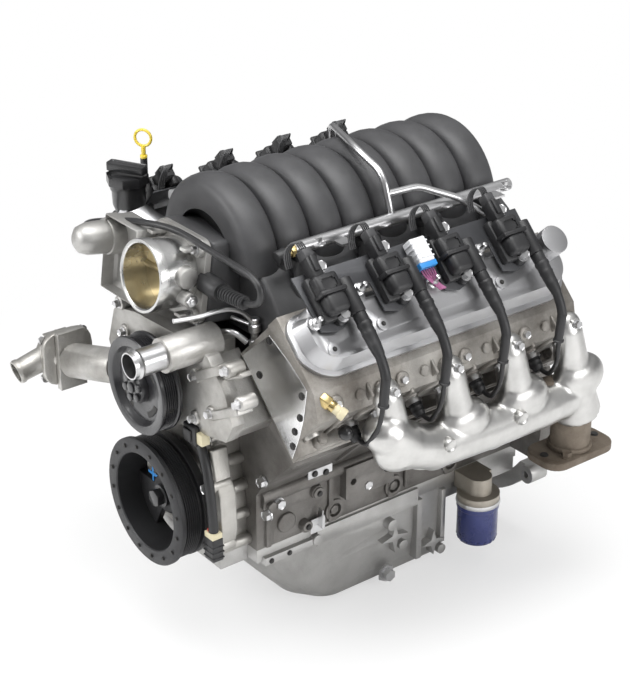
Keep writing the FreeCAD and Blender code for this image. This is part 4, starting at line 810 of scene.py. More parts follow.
# %% Coil bolts, bracket studs and the white connector
coil_bolts = stand(bolt_13, "coil_bolts", [((u, y + 0.004, COIL_FOOT + 0.012), (0, 0, 1))
                                           for y in COIL_YS for u in (-0.137, -0.066)])
STUD = ((0.0, 0), (0.0085, 0), (0.0085, 0.16), (0.0062, 0.2), (0.0062, 0.42), (0.0034, 0.45),
        (0.0034, 0.97), (0.0026, 1.0), (0.0, 1.0))
STUD_PLACES = ((-0.096, -0.418), (-0.070, -0.505), (-0.096, -0.208), (-0.074, -0.305))
bracket_studs = join("studs", [turned("stud", STUD, (u, y, 0.3948), (u, y, 0.4160))
                               for u, y in STUD_PLACES])
boss_holes = join("boss_holes", [hole("boss_hole", (u, y, 0.3918), (0, 0, 1), 0.0024, lip=0.001)
                                 for u, y in ((-0.032, -0.491), (-0.043, -0.404), (-0.044, -0.193))])
both_sides(BANKS, (
    ("coil_bolts", coil_bolts, "bright_steel", 40, None),
    ("bracket_studs", bracket_studs, "bright_steel", 40, None),
    ("boss_holes", boss_holes, "hole_dark", 40, None),
))

LEFT = BANKS["left"]
shell = soft_box("white_connector", (-0.134, -0.3245, 0.398), (-0.098, -0.2985, 0.4185), 0.0022, 3)
pick(shell, lambda middle, normal: normal.z > 0.95)
push(-0.0015, inset=0.004)
leave()
ribs = [soft_box("rib", (-0.128 + k * 0.0075, -0.3255, 0.400), (-0.1255 + k * 0.0075, -0.2975, 0.4195),
                 0.0006, 1) for k in range(4)]
fit(settle(join("white_connector", [shell] + ribs), LEFT), "white_plastic")
trim = soft_box("blue_trim", (-0.099, -0.326, 0.3985), (-0.0905, -0.297, 0.417), 0.0015)
fit(settle(trim, LEFT), "blue_plastic")
strands = []
for k in range(6):
    v = -0.322 + k * 0.004
    strands.append(tube("strand", [(-0.092, v, 0.408), (-0.080, v + 0.002, 0.4075),
                                   (-0.070, -0.308 + k * 0.001, 0.402),
                                   (-0.060, -0.300 + k * 0.002, 0.399)], 0.0012, 6, 5))
fit(settle(join("connector_strands", strands), LEFT), "pink_wire")
print("studs on each bracket:", len(STUD_PLACES), "and strands at the connector:", len(strands))

# %% [markdown]
# A stamped heat shield wraps the exhaust: thin bright steel pressed into one soft, bulging form.
# Boxes and edges cannot give that form. We lay out fat tubes and balls for the log and its four
# fingers, let a voxel remesh melt them into a single skin, and smooth that skin.

# %% The heat shields
MIRROR = Matrix(((-1, 0, 0, 0), (0, 1, 0, BANK_STAGGER), (0, 0, 1, 0), (0, 0, 0, 1)))
SIDES = {"left": UPRIGHT, "right": MIRROR}
FINGER_TOPS = [Vector((0.264, -0.4125 + k * BORE_SPACING, 0.212)) for k in range(4)]
LOG_LINE = [(0.270, -0.4175, 0.160), (0.273, -0.384, 0.129), (0.274, -0.335, 0.111), (0.273, -0.230, 0.106),
            (0.271, -0.130, 0.104), (0.266, -0.070, 0.104)]
VOXEL = 0.0032


def melt(name, pieces, voxel, rounds):
    """Pieces melted into one closed skin, then smoothed."""
    skin = join(name, pieces)
    remesh = skin.modifiers.new("melt", "REMESH")
    remesh.mode, remesh.voxel_size = "VOXEL", voxel
    bpy.ops.object.modifier_apply(modifier=remesh.name)
    smooth = skin.modifiers.new("smooth", "SMOOTH")
    smooth.factor, smooth.iterations = 0.6, rounds
    bpy.ops.object.modifier_apply(modifier=smooth.name)
    return skin


def ball(name, centre, radius, scale=(1, 1, 1)):
    """A ball, or a ball stretched along the axes."""
    return add("uv_sphere", name, segments=24, ring_count=14, radius=radius, location=centre, scale=scale)


def shield_skin():
    """The log, its rounded nose and the four fingers of the left heat shield."""
    parts = []
    for start, end in zip(LOG_LINE, LOG_LINE[1:]):
        parts.append(drum("log", start, end, 0.0315, 24))
        parts.append(ball("knot", end, 0.0315, (0.92, 1, 1.1)))
    parts.append(ball("nose", LOG_LINE[0], 0.0305, (0.95, 1.05, 1.0)))
    for top in FINGER_TOPS:
        foot = Vector((0.272, top.y + 0.016, 0.112))
        parts.append(drum("finger", foot, top, 0.0285, 24, 0.0215))
        parts.append(ball("tip", top, 0.0215, (0.9, 1.0, 1.15)))
        parts.append(ball("web", foot + Vector((0.002, 0.004, 0.020)), 0.036, (0.75, 1.25, 1.0)))
    parts.append(drum("fall", (0.266, -0.062, 0.112), (0.262, -0.044, 0.066), 0.033, 24, 0.037))
    return melt("shield", parts, VOXEL, 6)


def stamped_marks():
    """Pressed discs, dimples and the rolled seam along the log."""
    disc = ((0.0, 0), (0.0105, 0), (0.0105, 0.72), (0.0092, 1.0), (0.0078, 0.86), (0.0, 0.86))
    marks = [turned("disc", disc, (0.296, y, z), (0.3062, y, z))
             for y, z in ((-0.3295, 0.124), (-0.1957, 0.121))]
    for top in FINGER_TOPS:
        for drop, run in ((0.030, 0.004), (0.052, 0.010)):
            spot = (top.x + 0.022 + drop * 0.05, top.y + run, top.z - drop)
            marks.append(ball("dimple", spot, 0.0042, (0.45, 1, 1)))
        marks.append(soft_box("tab", (top.x + 0.004, top.y - 0.008, top.z + 0.004),
                              (top.x + 0.017, top.y + 0.009, top.z + 0.0185), 0.004, 3))
    seam = [Vector(p) + Vector((0.004, 0, -0.0335)) for p in LOG_LINE]
    marks.append(tube("seam", seam, 0.0022, 8, 6))
    return join("marks", marks)


skin, marks = shield_skin(), stamped_marks()
tab_bolts = stand(bolt_10, "tab_bolts", [((top.x + 0.0165, top.y, top.z + 0.011), (1, 0, 0.2))
                                         for top in FINGER_TOPS])
print("shield faces:", len(skin.data.polygons))
both_sides(SIDES, (
    ("shield_skin", skin, "shield_steel", 80, "heat_shield"),
    ("shield_marks", marks, "shield_steel", 50, None),
    ("shield_bolts", tab_bolts, "bright_steel", 40, None),
))

# %% [markdown]
# Behind the shield only the cast iron outlet shows: an elbow that turns down to a square flange
# with rounded corners. Two of its corners are drilled, and one stud is still in place.

# %% Exhaust outlets
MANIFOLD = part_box("exhaust_manifold_left")
OUTLET = Vector((0.254, -0.044, MANIFOLD[0].z + 0.012))


def outlet_elbow():
    """The elbow, its flange with rounded corners, and the collar round the elbow's foot."""
    bend = [OUTLET + Vector(step) for step in (
        (0, 0, -0.010), (0.001, -0.001, 0.040), (0.006, -0.006, 0.085), (0.008, -0.030, 0.104),
        (0.010, -0.080, 0.104))]
    elbow = tube("elbow", bend, 0.0300, 32, 10)
    flange = block("flange", OUTLET + Vector((-0.036, -0.066, -0.012)), OUTLET + Vector((0.038, 0.066, 0)))
    round_edges(round_corners(flange, 0.026), 0.0012, 1, 50)
    collar = soft_drum("collar", OUTLET + Vector((0, 0, -0.001)), OUTLET + Vector((0, 0, 0.008)), 0.0335,
                       32, 0.003, 3)
    return join("outlet", [elbow, flange, collar])


outlet = outlet_elbow()
# the bolt holes and the gas way get painted shade: a near-black finish for the dark of their depth
outlet_holes = join("outlet_holes", [
    hole("outlet_hole", OUTLET + Vector((0, dy, 0)), (0, 0, 1), 0.0052) for dy in (-0.052, 0.052)] + [
    hole("gas_way", OUTLET + Vector((0, 0, -0.012)), (0, 0, -1), 0.026, lip=0.002)])
stud = stand(bolt_13, "outlet_stud", [(OUTLET + Vector((0.024, -0.030, 0.0)), (0, 0, 1))])
both_sides(SIDES, (
    ("exhaust_outlet", outlet, "rusty_iron", 40, "exhaust_manifold"),
    ("outlet_holes", outlet_holes, "hole_dark", 40, None),
    ("outlet_stud", stud, "rusty_iron", 40, None),
))
print("exhaust outlets at", tuple(round(c, 3) for c in OUTLET))

# %% [markdown]
# The ends of the heads are milled flat and shine, while their sides stay as cast. A thin milled
# plate on the front shows that, with its bolt holes as real recesses: inset a face, push it in.

# %% Milled ends, port rings and plugs of the heads
HEAD_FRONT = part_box("cylinder_head_left")[0].y
END_PLATE_FRONT = HEAD_FRONT - 0.0012
END_OUTLINE = ((-0.100, 0.240), (0.057, 0.240), (0.040, 0.280), (0.026, 0.306), (-0.002, 0.345),
               (-0.042, 0.338), (-0.094, 0.322))
END_HOLES = ((0.044, 0.256), (0.020, 0.302), (-0.062, 0.258), (0.030, 0.276), (-0.001, 0.3287),
             (-0.088, 0.3165))


def port_rings():
    """Cast rings round the exhaust ports, with the ribs, wells and knobs between them."""
    parts = []
    for bore_y in LEFT_BORES:
        port_y = bore_y + 0.048
        parts.append(soft_drum("ring", (0.030, port_y - 0.006, 0.306), (0.0475, port_y - 0.006, 0.306),
                               0.031, 28, 0.003, 3))
        parts.append(soft_box("rib", (0.020, bore_y - 0.022, 0.262), (0.0465, bore_y - 0.015, 0.334), 0.003))
        parts.append(soft_drum("well", (0.036, bore_y + 0.014, 0.278), (0.0445, bore_y + 0.014, 0.278),
                               0.020, 24, 0.002))
        for v, size in ((-0.034, 0.011), (0.006, 0.008), (0.040, 0.009)):
            parts.append(soft_drum("knob", (0.018, bore_y + v, 0.332), (0.0275, bore_y + v, 0.3465), size,
                                   20, 0.002))
        parts.append(soft_box("fin", (0.014, bore_y + 0.018, 0.334), (0.036, bore_y + 0.023, 0.35), 0.002))
    rail_front, rail_rear = HEAD_FRONT + 0.004, HEAD_FRONT + 0.462
    parts.append(soft_box("rail", (0.040, rail_front, 0.2385), (0.0635, rail_rear, 0.250), 0.003))
    return join("port_rings", parts)


plate = prism("end_plate", END_OUTLINE, END_PLATE_FRONT, HEAD_FRONT, 0.0006, 1)
rings = port_rings()
holes = join("end_holes", [hole("end_hole", (u, END_PLATE_FRONT, w), (0, -1, 0), 0.0042)
                           for u, w in END_HOLES])
CORE = ((0.0, 0), (0.0125, 0), (0.0125, 0.8), (0.0112, 1.0), (0.0098, 0.82), (0.0, 0.7))
core_y = HEAD_FRONT + 0.021
core = turned("core_plug", CORE, (0.038, core_y, 0.274), (0.0475, core_y, 0.274))
both_sides(BANKS, (
    ("head_end", plate, "machined_face", 20, None),
    ("head_end_holes", holes, "hole_dark", 40, None),
    ("head_ports", rings, "head_cast", 50, None),
    ("head_core_plug", core, "cast_aluminium", 40, None),
))

SENSOR = Vector((0.256, -0.509, 0.232))
SENSOR_AIM = Vector((26, 15, -18)).normalized()
brass = [drum("sensor", SENSOR - SENSOR_AIM * 0.006, SENSOR + SENSOR_AIM * 0.009, 0.0100, 6),
         drum("sensor", SENSOR + SENSOR_AIM * 0.008, SENSOR + SENSOR_AIM * 0.017, 0.0078, 20)]
fit(round_edges(join("sensor_brass", brass), 0.0008), "brass_fitting")
SENSOR_CAP = ((0.0, 0), (0.0070, 0), (0.0070, 0.5), (0.0086, 0.55), (0.0086, 0.92), (0.0076, 1.0),
              (0.0, 1.0))
cap = turned("sensor_cap", SENSOR_CAP, SENSOR + SENSOR_AIM * 0.015, SENSOR + SENSOR_AIM * 0.034)
fit(cap, "cream_plastic")
print("holes in the milled end of each head:", len(END_HOLES))

# %% [markdown]
# Small fasteners decide whether an engine looks real. Each list below says where a row of bolts
# stands and which way it points, and the pattern bolt from above is copied onto those places.

# %% Bolts on the side of the heads
port_bolts = [((0.050, y + 0.048 + dy, w), (1, 0, 0)) for y in LEFT_BORES
              for dy, w in ((-0.018, 0.320), (0.018, 0.300))]
ledge_bolts = [((0.026, y - 0.034, 0.3435), (0.54, 0, 0.84)) for y in LEFT_BORES]
for name, places in (("port_bolts", port_bolts), ("ledge_bolts", ledge_bolts)):
    both_sides(BANKS, [(name, stand(bolt_10, name, places), "bright_steel", 40, None)])
print("head bolts:", 2 * len(port_bolts) + 2 * len(ledge_bolts))

# %% [markdown]
# The side of the block carries brackets, bosses and cast ribs. They are simple shapes, but each is
# bevelled and a few are drilled, because a row of plain boxes would read as toys. The filter is a
# spun can whose foot has flutes for the wrench, made by insetting every second face.


# %% Block side, pan rail and filter
def side_details():
    """Cast bulges and ribs on the block's side."""
    parts = [
        soft_box("foot", (0.110, -0.500, -0.060), (0.1215, -0.494, 0.018), 0.002),
        soft_drum("boss", (0.112, -0.4395, -0.050), (0.131, -0.4395, -0.050), 0.0085, 20, 0.0015),
        soft_drum("boss", (0.112, -0.417, -0.004), (0.128, -0.417, -0.004), 0.0095, 20, 0.0015),
        soft_drum("boss", (0.112, -0.470, -0.036), (0.1225, -0.470, -0.036), 0.016, 24, 0.003, 3),
        soft_box("web", (0.110, -0.480, 0.008), (0.1225, -0.400, 0.0145), 0.003),
        soft_box("web", (0.110, -0.252, -0.058), (0.1235, -0.246, 0.010), 0.002),
    ]
    for y in (-0.330, -0.300, -0.214):
        parts.append(soft_drum("boss", (0.112, y, -0.020), (0.1245, y, -0.020), 0.010, 20, 0.002))
    return join("side_details", parts)


def clip_bracket():
    """The two small plated brackets: an angle with two holes, and a clip on the pan rail."""
    angle = soft_box("angle", (0.124, -0.436, 0.012), (0.1255, -0.392, 0.050), 0.0006, 1)
    foot = soft_box("angle", (0.112, -0.436, 0.012), (0.1255, -0.4345, 0.046), 0.0006, 1)
    clip = soft_box("clip", (0.1225, -0.430, -0.070), (0.1245, -0.404, -0.046), 0.0006, 1)
    finger = soft_box("clip", (0.1225, -0.416, -0.062), (0.134, -0.4145, -0.030), 0.0006, 1)
    return join("clip_bracket", [angle, foot, clip, finger])


details, clips = side_details(), clip_bracket()
side_holes = join("side_holes", [hole("side_hole", (x, y, z), (1, 0, 0), radius) for x, y, z, radius in (
    (0.1255, -0.424, 0.030, 0.004), (0.1255, -0.404, 0.026, 0.004), (0.128, -0.417, -0.004, 0.0035),
    (0.131, -0.4395, -0.050, 0.0035), (0.1245, -0.300, -0.020, 0.004), (0.126, -0.470, -0.084, 0.003),
    (0.126, -0.502, -0.085, 0.003), (0.1245, -0.214, -0.020, 0.004))])
side_bolts = stand(bolt_13, "side_bolts", [((0.1245, -0.330, -0.020), (1, 0, 0)),
                                           ((0.125, -0.4885, 0.006), (1, 0, 0))])
both_sides(SIDES, (
    ("block_side", details, "block_iron", 50, None),
    ("clip_bracket", clips, "bright_steel", 30, None),
    ("side_holes", side_holes, "hole_dark", 40, None),
    ("side_bolts", side_bolts, "bright_steel", 40, None),
))

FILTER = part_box("oil_filter")
filter_x, filter_y = (FILTER[0].x + FILTER[1].x) / 2, (FILTER[0].y + FILTER[1].y) / 2
FILTER_TOP, FILTER_FOOT = FILTER[1].z, FILTER[0].z
CAN = ((0.0, 0), (0.020, 0), (0.0285, 0.05), (0.0315, 0.16), (0.0315, 0.80), (0.0330, 0.83),
       (0.0330, 0.93), (0.0310, 0.97), (0.0, 0.97))
FLUTED, FLUTE_STEP = 0.014, 10


def is_flute(middle, normal):
    """Every second upright face round the foot of the can."""
    turn = math.degrees(math.atan2(middle.y - filter_y, middle.x - filter_x))
    return (middle.z < FILTER_FOOT + FLUTED and abs(normal.z) < 0.75
            and round(turn / FLUTE_STEP) % 2 == 0)


can = turned("filter_can", CAN, (filter_x, filter_y, FILTER_FOOT), (filter_x, filter_y, FILTER_TOP), 36)
pick(can, is_flute)
push(-0.0009, inset=0.0012)
leave()
fit(can, "navy_paint", replaced=("oil_filter",), smooth=30)
RING = ((0.020, 0), (0.0335, 0), (0.0345, 0.4), (0.0335, 1.0), (0.020, 1.0), (0.020, 0))
ring = turned("filter_ring", RING, (filter_x, filter_y, FILTER_TOP - 0.006),
              (filter_x, filter_y, FILTER_TOP + 0.001), 36)
fit(ring, "bright_steel")
print("filter stands at", round(filter_x, 3), round(filter_y, 3))

# %% [markdown]
# The throttle body is a casting with a turned ring. The ring is spun from half a section like the
# boots, the gear case beside it is a box whose corners are cut and rounded, and the electric motor
# lies next to it, parallel with the bore. Machined faces stay bright while cast ones are dull.

# %% Throttle body
RING_SECTION = ((0.0445, 0.001), (0.0445, 0.0685), (0.0465, 0.0700), (0.0500, 0.0700), (0.0505, 0.0690),
                (0.0505, 0.0560), (0.0490, 0.0545), (0.0490, 0.001), (0.0445, 0.001))
ring = outline_piece("ring", [(radius, 0, depth) for radius, depth in RING_SECTION])
bpy.ops.mesh.spin(steps=48, angle=2 * math.pi, center=(0, 0, 0), axis=(0, 0, 1))
close_up()
fit(settle(ring, THROTTLE), "throttle_ring", smooth=35)

CORNERS = ((0.047, 0.046), (0.047, -0.046), (-0.047, -0.046), (-0.047, 0.046))
flange = block("flange", (-0.061, -0.060, 0.0005), (0.061, 0.060, 0.010))
round_edges(round_corners(flange, 0.017), 0.0006, 1, 50)
body = [flange]
for x, y in CORNERS:
    body.append(soft_drum("boss", (x, y, 0.008), (x, y, 0.0165), 0.0105, 24, 0.001))
    body.append(soft_box("gusset", (min(x, x * 0.7), y - 0.0025, 0.008),
                         (max(x, x * 0.7), y + 0.0025, 0.034), 0.001))
body.append(soft_drum("shaft_boss", (0.040, -0.018, 0.030), (0.064, -0.018, 0.030), 0.0105, 24, 0.0015))
body.append(soft_drum("shaft_boss", (0.036, 0.010, 0.030), (0.056, 0.010, 0.030), 0.0150, 24, 0.002))
case = block("gear_case", (-0.126, -0.060, 0.006), (-0.0485, 0.044, 0.050))
pick(case, lambda middle, normal: normal.z > 0.9)
push(0.0015, inset=0.0)
push(0.0, scale=1.035)
push(0.0165, scale=1.0)
push(0.006, scale=0.88)
leave()
body.append(round_edges(case, 0.004, 3, 25))
MOTOR = ((0.0, 0), (0.0235, 0), (0.0235, 0.62), (0.0225, 0.80), (0.0185, 0.93), (0.0115, 0.985), (0.0, 1.0))
body.append(turned("motor", MOTOR, (-0.127, 0.012, 0.004), (-0.131, 0.010, 0.094), 32))
body.append(soft_drum("motor_seat", (-0.127, 0.012, 0.004), (-0.129, 0.011, 0.046), 0.0262, 32, 0.002))
fit(settle(join("throttle", body), THROTTLE), "throttle_aluminium", replaced=("throttle_body",),
    name="throttle_cast")
screws = stand(bolt_10, "throttle_bolts", [((x, y, 0.0160), (0, 0, 1)) for x, y in CORNERS])
fit(settle(screws, THROTTLE), "bright_steel")
nut = join("throttle_nut", [drum("nut", (0.063, -0.018, 0.030), (0.069, -0.018, 0.030), 0.0085, 6),
                            drum("nut", (0.068, -0.018, 0.030), (0.0715, -0.018, 0.030), 0.0045, 16)])
fit(round_edges(settle(nut, THROTTLE), 0.0006, 2), "bright_steel")
print("throttle body joined from", len(body), "pieces")

# %% [markdown]
# A long thin hose runs over the throttle body and ends in a corrugated sleeve on the intake. The
# corrugation is a section with many small steps, spun round. The bright vent pipe is bent from
# steel tube and ends in an upright banjo fitting.

# %% Breather hose and vent pipe
hose_way = [(-0.238, -0.560, 0.322), (-0.226, -0.575, 0.338), (-0.134, -0.578, 0.3725),
            (-0.055, -0.578, 0.3965), (0.004, -0.562, 0.4000), (0.066, -0.560, 0.3950),
            (0.127, -0.560, 0.3930), (0.172, -0.560, 0.3915), (0.1935, -0.560, 0.3780),
            (0.184, -0.560, 0.3520), (0.152, -0.560, 0.3465)]
fit(tube("breather_hose_run", hose_way, 0.0047, 12, 10), "tube_black", replaced=("breather_hose",))
RINGS = 9
steps = [(0.0, 0.0), (0.0085, 0.0)]
for k in range(RINGS):
    steps += [(0.0098, (k + 0.20) / RINGS), (0.0098, (k + 0.50) / RINGS),
              (0.0082, (k + 0.62) / RINGS), (0.0082, (k + 0.98) / RINGS)]
steps += [(0.0062, 1.0), (0.0, 1.0)]
sleeve = turned("hose_sleeve", steps, (0.104, -0.560, 0.3435), (0.156, -0.560, 0.3470), 20)
port = turned("port", ((0.0, 0), (0.0150, 0), (0.0150, 0.75), (0.0130, 0.80), (0.0130, 1.0), (0.0, 1.0)),
              (0.055, -0.553, 0.3400), (0.105, -0.560, 0.3435), 24)
fit(join("hose_sleeve", [sleeve, port]), "black_rubber")

vent_way = [(0.098, -0.634, 0.3215), (0.104, -0.600, 0.3190), (0.105, -0.575, 0.3205),
            (0.105, -0.545, 0.3170), (0.105, -0.520, 0.2990), (0.105, -0.510, 0.2800),
            (0.105, -0.510, 0.2600)]
branch_way = [(0.066, -0.520, 0.282), (0.085, -0.514, 0.281), (0.105, -0.510, 0.2800)]
BANJO = ((0.0, 0), (0.0082, 0), (0.0082, 0.16), (0.0056, 0.2), (0.0056, 0.44), (0.0086, 0.5),
         (0.0086, 0.74), (0.0056, 0.8), (0.0072, 0.84), (0.0072, 0.97), (0.0060, 1.0), (0.0, 1.0))
vent = [tube("vent", vent_way, 0.0033, 12, 10),
        turned("banjo", BANJO, (0.105, -0.510, 0.2540), (0.105, -0.510, 0.2930), 18),
        tube("vent_branch", branch_way, 0.0030, 12, 6)]
fit(join("vent_pipe", vent), "bright_steel")
print("bends in the hose:", len(hose_way), "and in the vent pipe:", len(vent_way))

# %% [markdown]
# The oil filler cap is an eight-sided moulding with a grip across it. An octagonal cylinder is
# inset and pushed to make its stepped skirt. The yellow dipstick handle is a torus, a bought-in
# shape that Blender makes in one step, on a flat shank.

# %% Oil filler and dipstick
FILLER = Vector((-0.2105, -0.505, 0.0))
cap = drum("cap", FILLER + Vector((0, 0, 0.388)), FILLER + Vector((0, 0, 0.402)), 0.0315, 8)
pick(cap, lambda middle, normal: normal.z > 0.9)
push(0.0045, 0.93)
push(0.0, inset=0.004)
push(-0.0015)
leave()
grip = block("grip", (-0.030, -0.0085, 0.404), (0.030, 0.0085, 0.418))
pick(grip, lambda middle, normal: normal.z > 0.9)
push(0.004, 0.86)
leave()
settle(grip, Matrix.Translation(FILLER) @ Matrix.Rotation(math.radians(28), 4, "Z"))
cap_pieces = join("filler_cap_moulding", [round_edges(cap, 0.0022, 3), round_edges(grip, 0.003, 3)])
fit(cap_pieces, "cap_black", "filler_cap", ("oil_filler_cap",))
NECK = ((0.0, 0.0), (0.0265, 0.0), (0.0265, 0.07), (0.0215, 0.10), (0.0215, 0.18), (0.0245, 0.36),
        (0.0245, 0.76), (0.0262, 0.82), (0.0262, 0.96), (0.0240, 1.0), (0.0, 1.0))
neck = turned("neck", NECK, FILLER + Vector((0.004, 0, 0.3400)), FILLER + Vector((0, 0, 0.3895)), 32)
fit(neck, "cap_black", replaced=("oil_filler_neck",), name="filler_neck_moulding")
SPOUT = ((0.0, 0), (0.0300, 0), (0.0260, 0.4), (0.0245, 0.8), (0.0265, 0.84), (0.0265, 1.0), (0.0, 1.0))
spout = turned("spout", SPOUT,
               FILLER + Vector((0.046, 0.016, 0.316)), FILLER + Vector((-0.002, -0.001, 0.3440)), 32)
fit(spout, "cover_aluminium", name="filler_spout")

STICK = Vector((-0.3140, -0.4120, 0.0))
handle = add("torus", "handle", major_radius=0.0128, minor_radius=0.0023, major_segments=40,
             minor_segments=12, location=STICK + Vector((0, 0, 0.4055)),
             rotation=(math.radians(90), 0, math.radians(38)))
shank = soft_drum("shank", STICK + Vector((0, 0, 0.372)), STICK + Vector((0, 0, 0.394)), 0.0036, 16, 0.0008)
collar = soft_drum("collar", STICK + Vector((0, 0, 0.3735)), STICK + Vector((0, 0, 0.3785)), 0.0058, 16,
                   0.001)
fit(join("dipstick_handle", [handle, shank, collar]), "yellow_plastic", "oil_dipstick", ("dipstick",))
blade = soft_box("blade", STICK + Vector((-0.0020, -0.0008, 0.300)),
                 STICK + Vector((0.0020, 0.0008, 0.374)), 0.0003, 1)
fit(blade, "bright_steel", "oil_dipstick", name="dipstick_blade")
print("dipstick handle faces:", len(handle.data.polygons))

# %% [markdown]
# The vibration damper and the pump pulley are turned parts. Their belt grooves are a zigzag in the
# section that is spun, so they run evenly all the way round. Small holes, spokes and a lobed hub
# break the symmetry and let a turn of the crank be seen.

# %% Damper and pulley
def spun(name, section, centre, steps):
    """A section of (radius, depth from the front) pairs in millimetres, spun about a line along y."""
    piece = outline_piece(name, [(radius / 1000, 0, depth / 1000) for radius, depth in section])
    bpy.ops.mesh.spin(steps=steps, angle=2 * math.pi, center=(0, 0, 0), axis=(0, 0, 1))
    close_up()
    return settle(piece, Matrix.Translation(centre) @ Matrix.Rotation(math.radians(-90), 4, "X"))


def grooves(outer, inner, start, pitch, count):
    """A zigzag of belt grooves."""
    zigzag = []
    for k in range(count):
        foot = start + k * pitch
        zigzag += [(outer, foot), (outer, foot + pitch * 0.3), (inner, foot + pitch * 0.6),
                   (inner, foot + pitch * 0.7)]
    return zigzag + [(outer, start + count * pitch)]


def sector(name, middle, half, inner, outer, centre, front, rear):
    """A flat spoke between two radii and two angles."""
    turns = [math.radians(middle + half * step / 4) for step in range(-4, 5)]
    outline = [(centre[0] + outer * math.cos(t), centre[1] + outer * math.sin(t)) for t in turns]
    outline += [(centre[0] + inner * math.cos(t), centre[1] + inner * math.sin(t)) for t in reversed(turns)]
    return prism(name, outline, front, rear, 0.0012)


DAMPER_FRONT = -0.6315
RIM = [(73, 1.5), (74.5, 0), (93.5, 0), (95.5, 1.5), (95.5, 7), (93.8, 8.5), (91.5, 9)]
RIM += grooves(91.5, 88.6, 10, 3.4, 7) + [(91.5, 35), (86.5, 36), (86.5, 40), (92.5, 41)]
RIM += [(92.5, 52), (91.5, 53), (74, 53), (73, 52), (73, 1.5)]
HUB = [(0.1, 29), (13, 29), (14, 30), (14, 34), (27, 34), (29, 36), (31, 60), (31, 73), (0.1, 73)]
damper = [spun("rim", RIM, (0, DAMPER_FRONT, 0), 64), spun("hub", HUB, (0, DAMPER_FRONT, 0), 40)]
for turn in (90, 210, 330):
    damper.append(sector("spoke", turn, 34, 0.027, 0.0740, (0, 0), DAMPER_FRONT + 0.0385,
                         DAMPER_FRONT + 0.0485))
fit(join("damper", damper), "damper_black", "crank", ("crank_damper",), name="damper_turned")
dimples = []
DIMPLES = 16
for k in range(DIMPLES):
    turn = 2 * math.pi * (k + 0.4) / DIMPLES
    dimples.append(hole("dimple", (0.0845 * math.cos(turn), DAMPER_FRONT, 0.0845 * math.sin(turn)),
                        (0, -1, 0), 0.0024, lip=0.0008))
fit(join("damper_holes", dimples), "hole_dark", "crank")
centre_bolt = join("centre_bolt", [drum("bolt", (0, -0.6015, 0), (0, -0.6055, 0), 0.0175, 28),
                                   drum("bolt", (0, -0.605, 0), (0, -0.6165, 0), 0.0135, 6)])
fit(round_edges(centre_bolt, 0.001, 2), "cap_black", "crank", ("damper_bolt",))
strokes = (((-0.047, -0.5936, 0.014), (-0.023, -0.5928, 0.019)),
           ((-0.037, -0.5937, 0.005), (-0.033, -0.5929, 0.028)))
chalk = join("chalk_mark", [soft_box("chalk", low, high, 0.0003, 1) for low, high in strokes])
fit(chalk, "blue_plastic", "crank")

PULLEY = Vector((0.0, -0.6378, 0.1867))
WHEEL = [(0.1, 8), (30, 8), (32, 7), (52, 9), (56, 4), (57, 0.8), (58, 0), (69.5, 0), (70.9, 1.2),
         (70.9, 4), (68.8, 5.5)]
WHEEL += grooves(68.8, 66.6, 6, 3.2, 6) + [(68.8, 26), (70.9, 27.5), (70.9, 31), (69.9, 32.5), (64, 32.5),
                                           (62, 14), (30, 15), (26, 32), (0.1, 32)]
PULLEY_HUB = ((0.0, 0), (0.0245, 0), (0.0245, 0.55), (0.0225, 0.75), (0.0, 0.75))
PULLEY_NOSE = ((0.0, 0), (0.0125, 0), (0.0125, 0.6), (0.0105, 0.7), (0.0075, 0.72), (0.0075, 0.95),
               (0.0062, 1.0), (0.0, 1.0))
wheel = [spun("wheel", WHEEL, PULLEY, 56)]
wheel.append(turned("hub", PULLEY_HUB, PULLEY + Vector((0, 0.012, 0)), PULLEY + Vector((0, -0.0075, 0)), 32))
for k in range(6):
    turn = math.radians(60 * k + 15)
    spot = PULLEY + Vector((0.0165 * math.cos(turn), 0, 0.0165 * math.sin(turn)))
    wheel.append(soft_drum("lobe", spot + Vector((0, 0.004, 0)), spot + Vector((0, -0.0068, 0)), 0.0058,
                           16, 0.0012))
wheel.append(turned("nose", PULLEY_NOSE, PULLEY + Vector((0, 0.004, 0)), PULLEY + Vector((0, -0.008, 0)), 24))
fit(join("pulley", wheel), "pulley_black", "water_pump_rotor", ("water_pump_pulley",), name="pulley_turned")
# painted shade: thin dark sectors on the solid web of the pulley stand in for the shade seen through its four
# slot openings
slot_shades = [sector("slot", 45 + 90 * k, 20, 0.0385, 0.0475, (0, PULLEY.z), PULLEY.y + 0.0074,
                PULLEY.y + 0.0095) for k in range(4)]
fit(join("pulley_slot_shades", slot_shades), "hole_dark", "water_pump_rotor")
print("points in the section of the rim:", len(RIM), "and of the pulley:", len(WHEEL))

# %% [markdown]
# The coolant outlet turns down beside the pump: a rounded bulb, a tapered spigot with a lip, thin
# stiffening fins and a flange held by three bolts.

# %% Thermostat housing and pump front
SPIGOT = ((0.0, 0), (0.0290, 0), (0.0285, 0.20), (0.0240, 0.38), (0.0185, 0.46), (0.0175, 0.88),
          (0.0188, 0.92), (0.0188, 0.97), (0.0178, 1.0), (0.0150, 1.0), (0.0145, 0.55), (0.0, 0.50))
ELBOW, MOUTH = Vector((-0.262, -0.598, 0.132)), Vector((-0.268, -0.6780, 0.1105))
FLANGE_Y, FLANGE_Z = -0.604, 0.1265


def squarish(value):
    """A sine or cosine bent so that a circle drawn with it comes out as a rounded square."""
    return math.copysign(abs(value) ** 0.6, value)


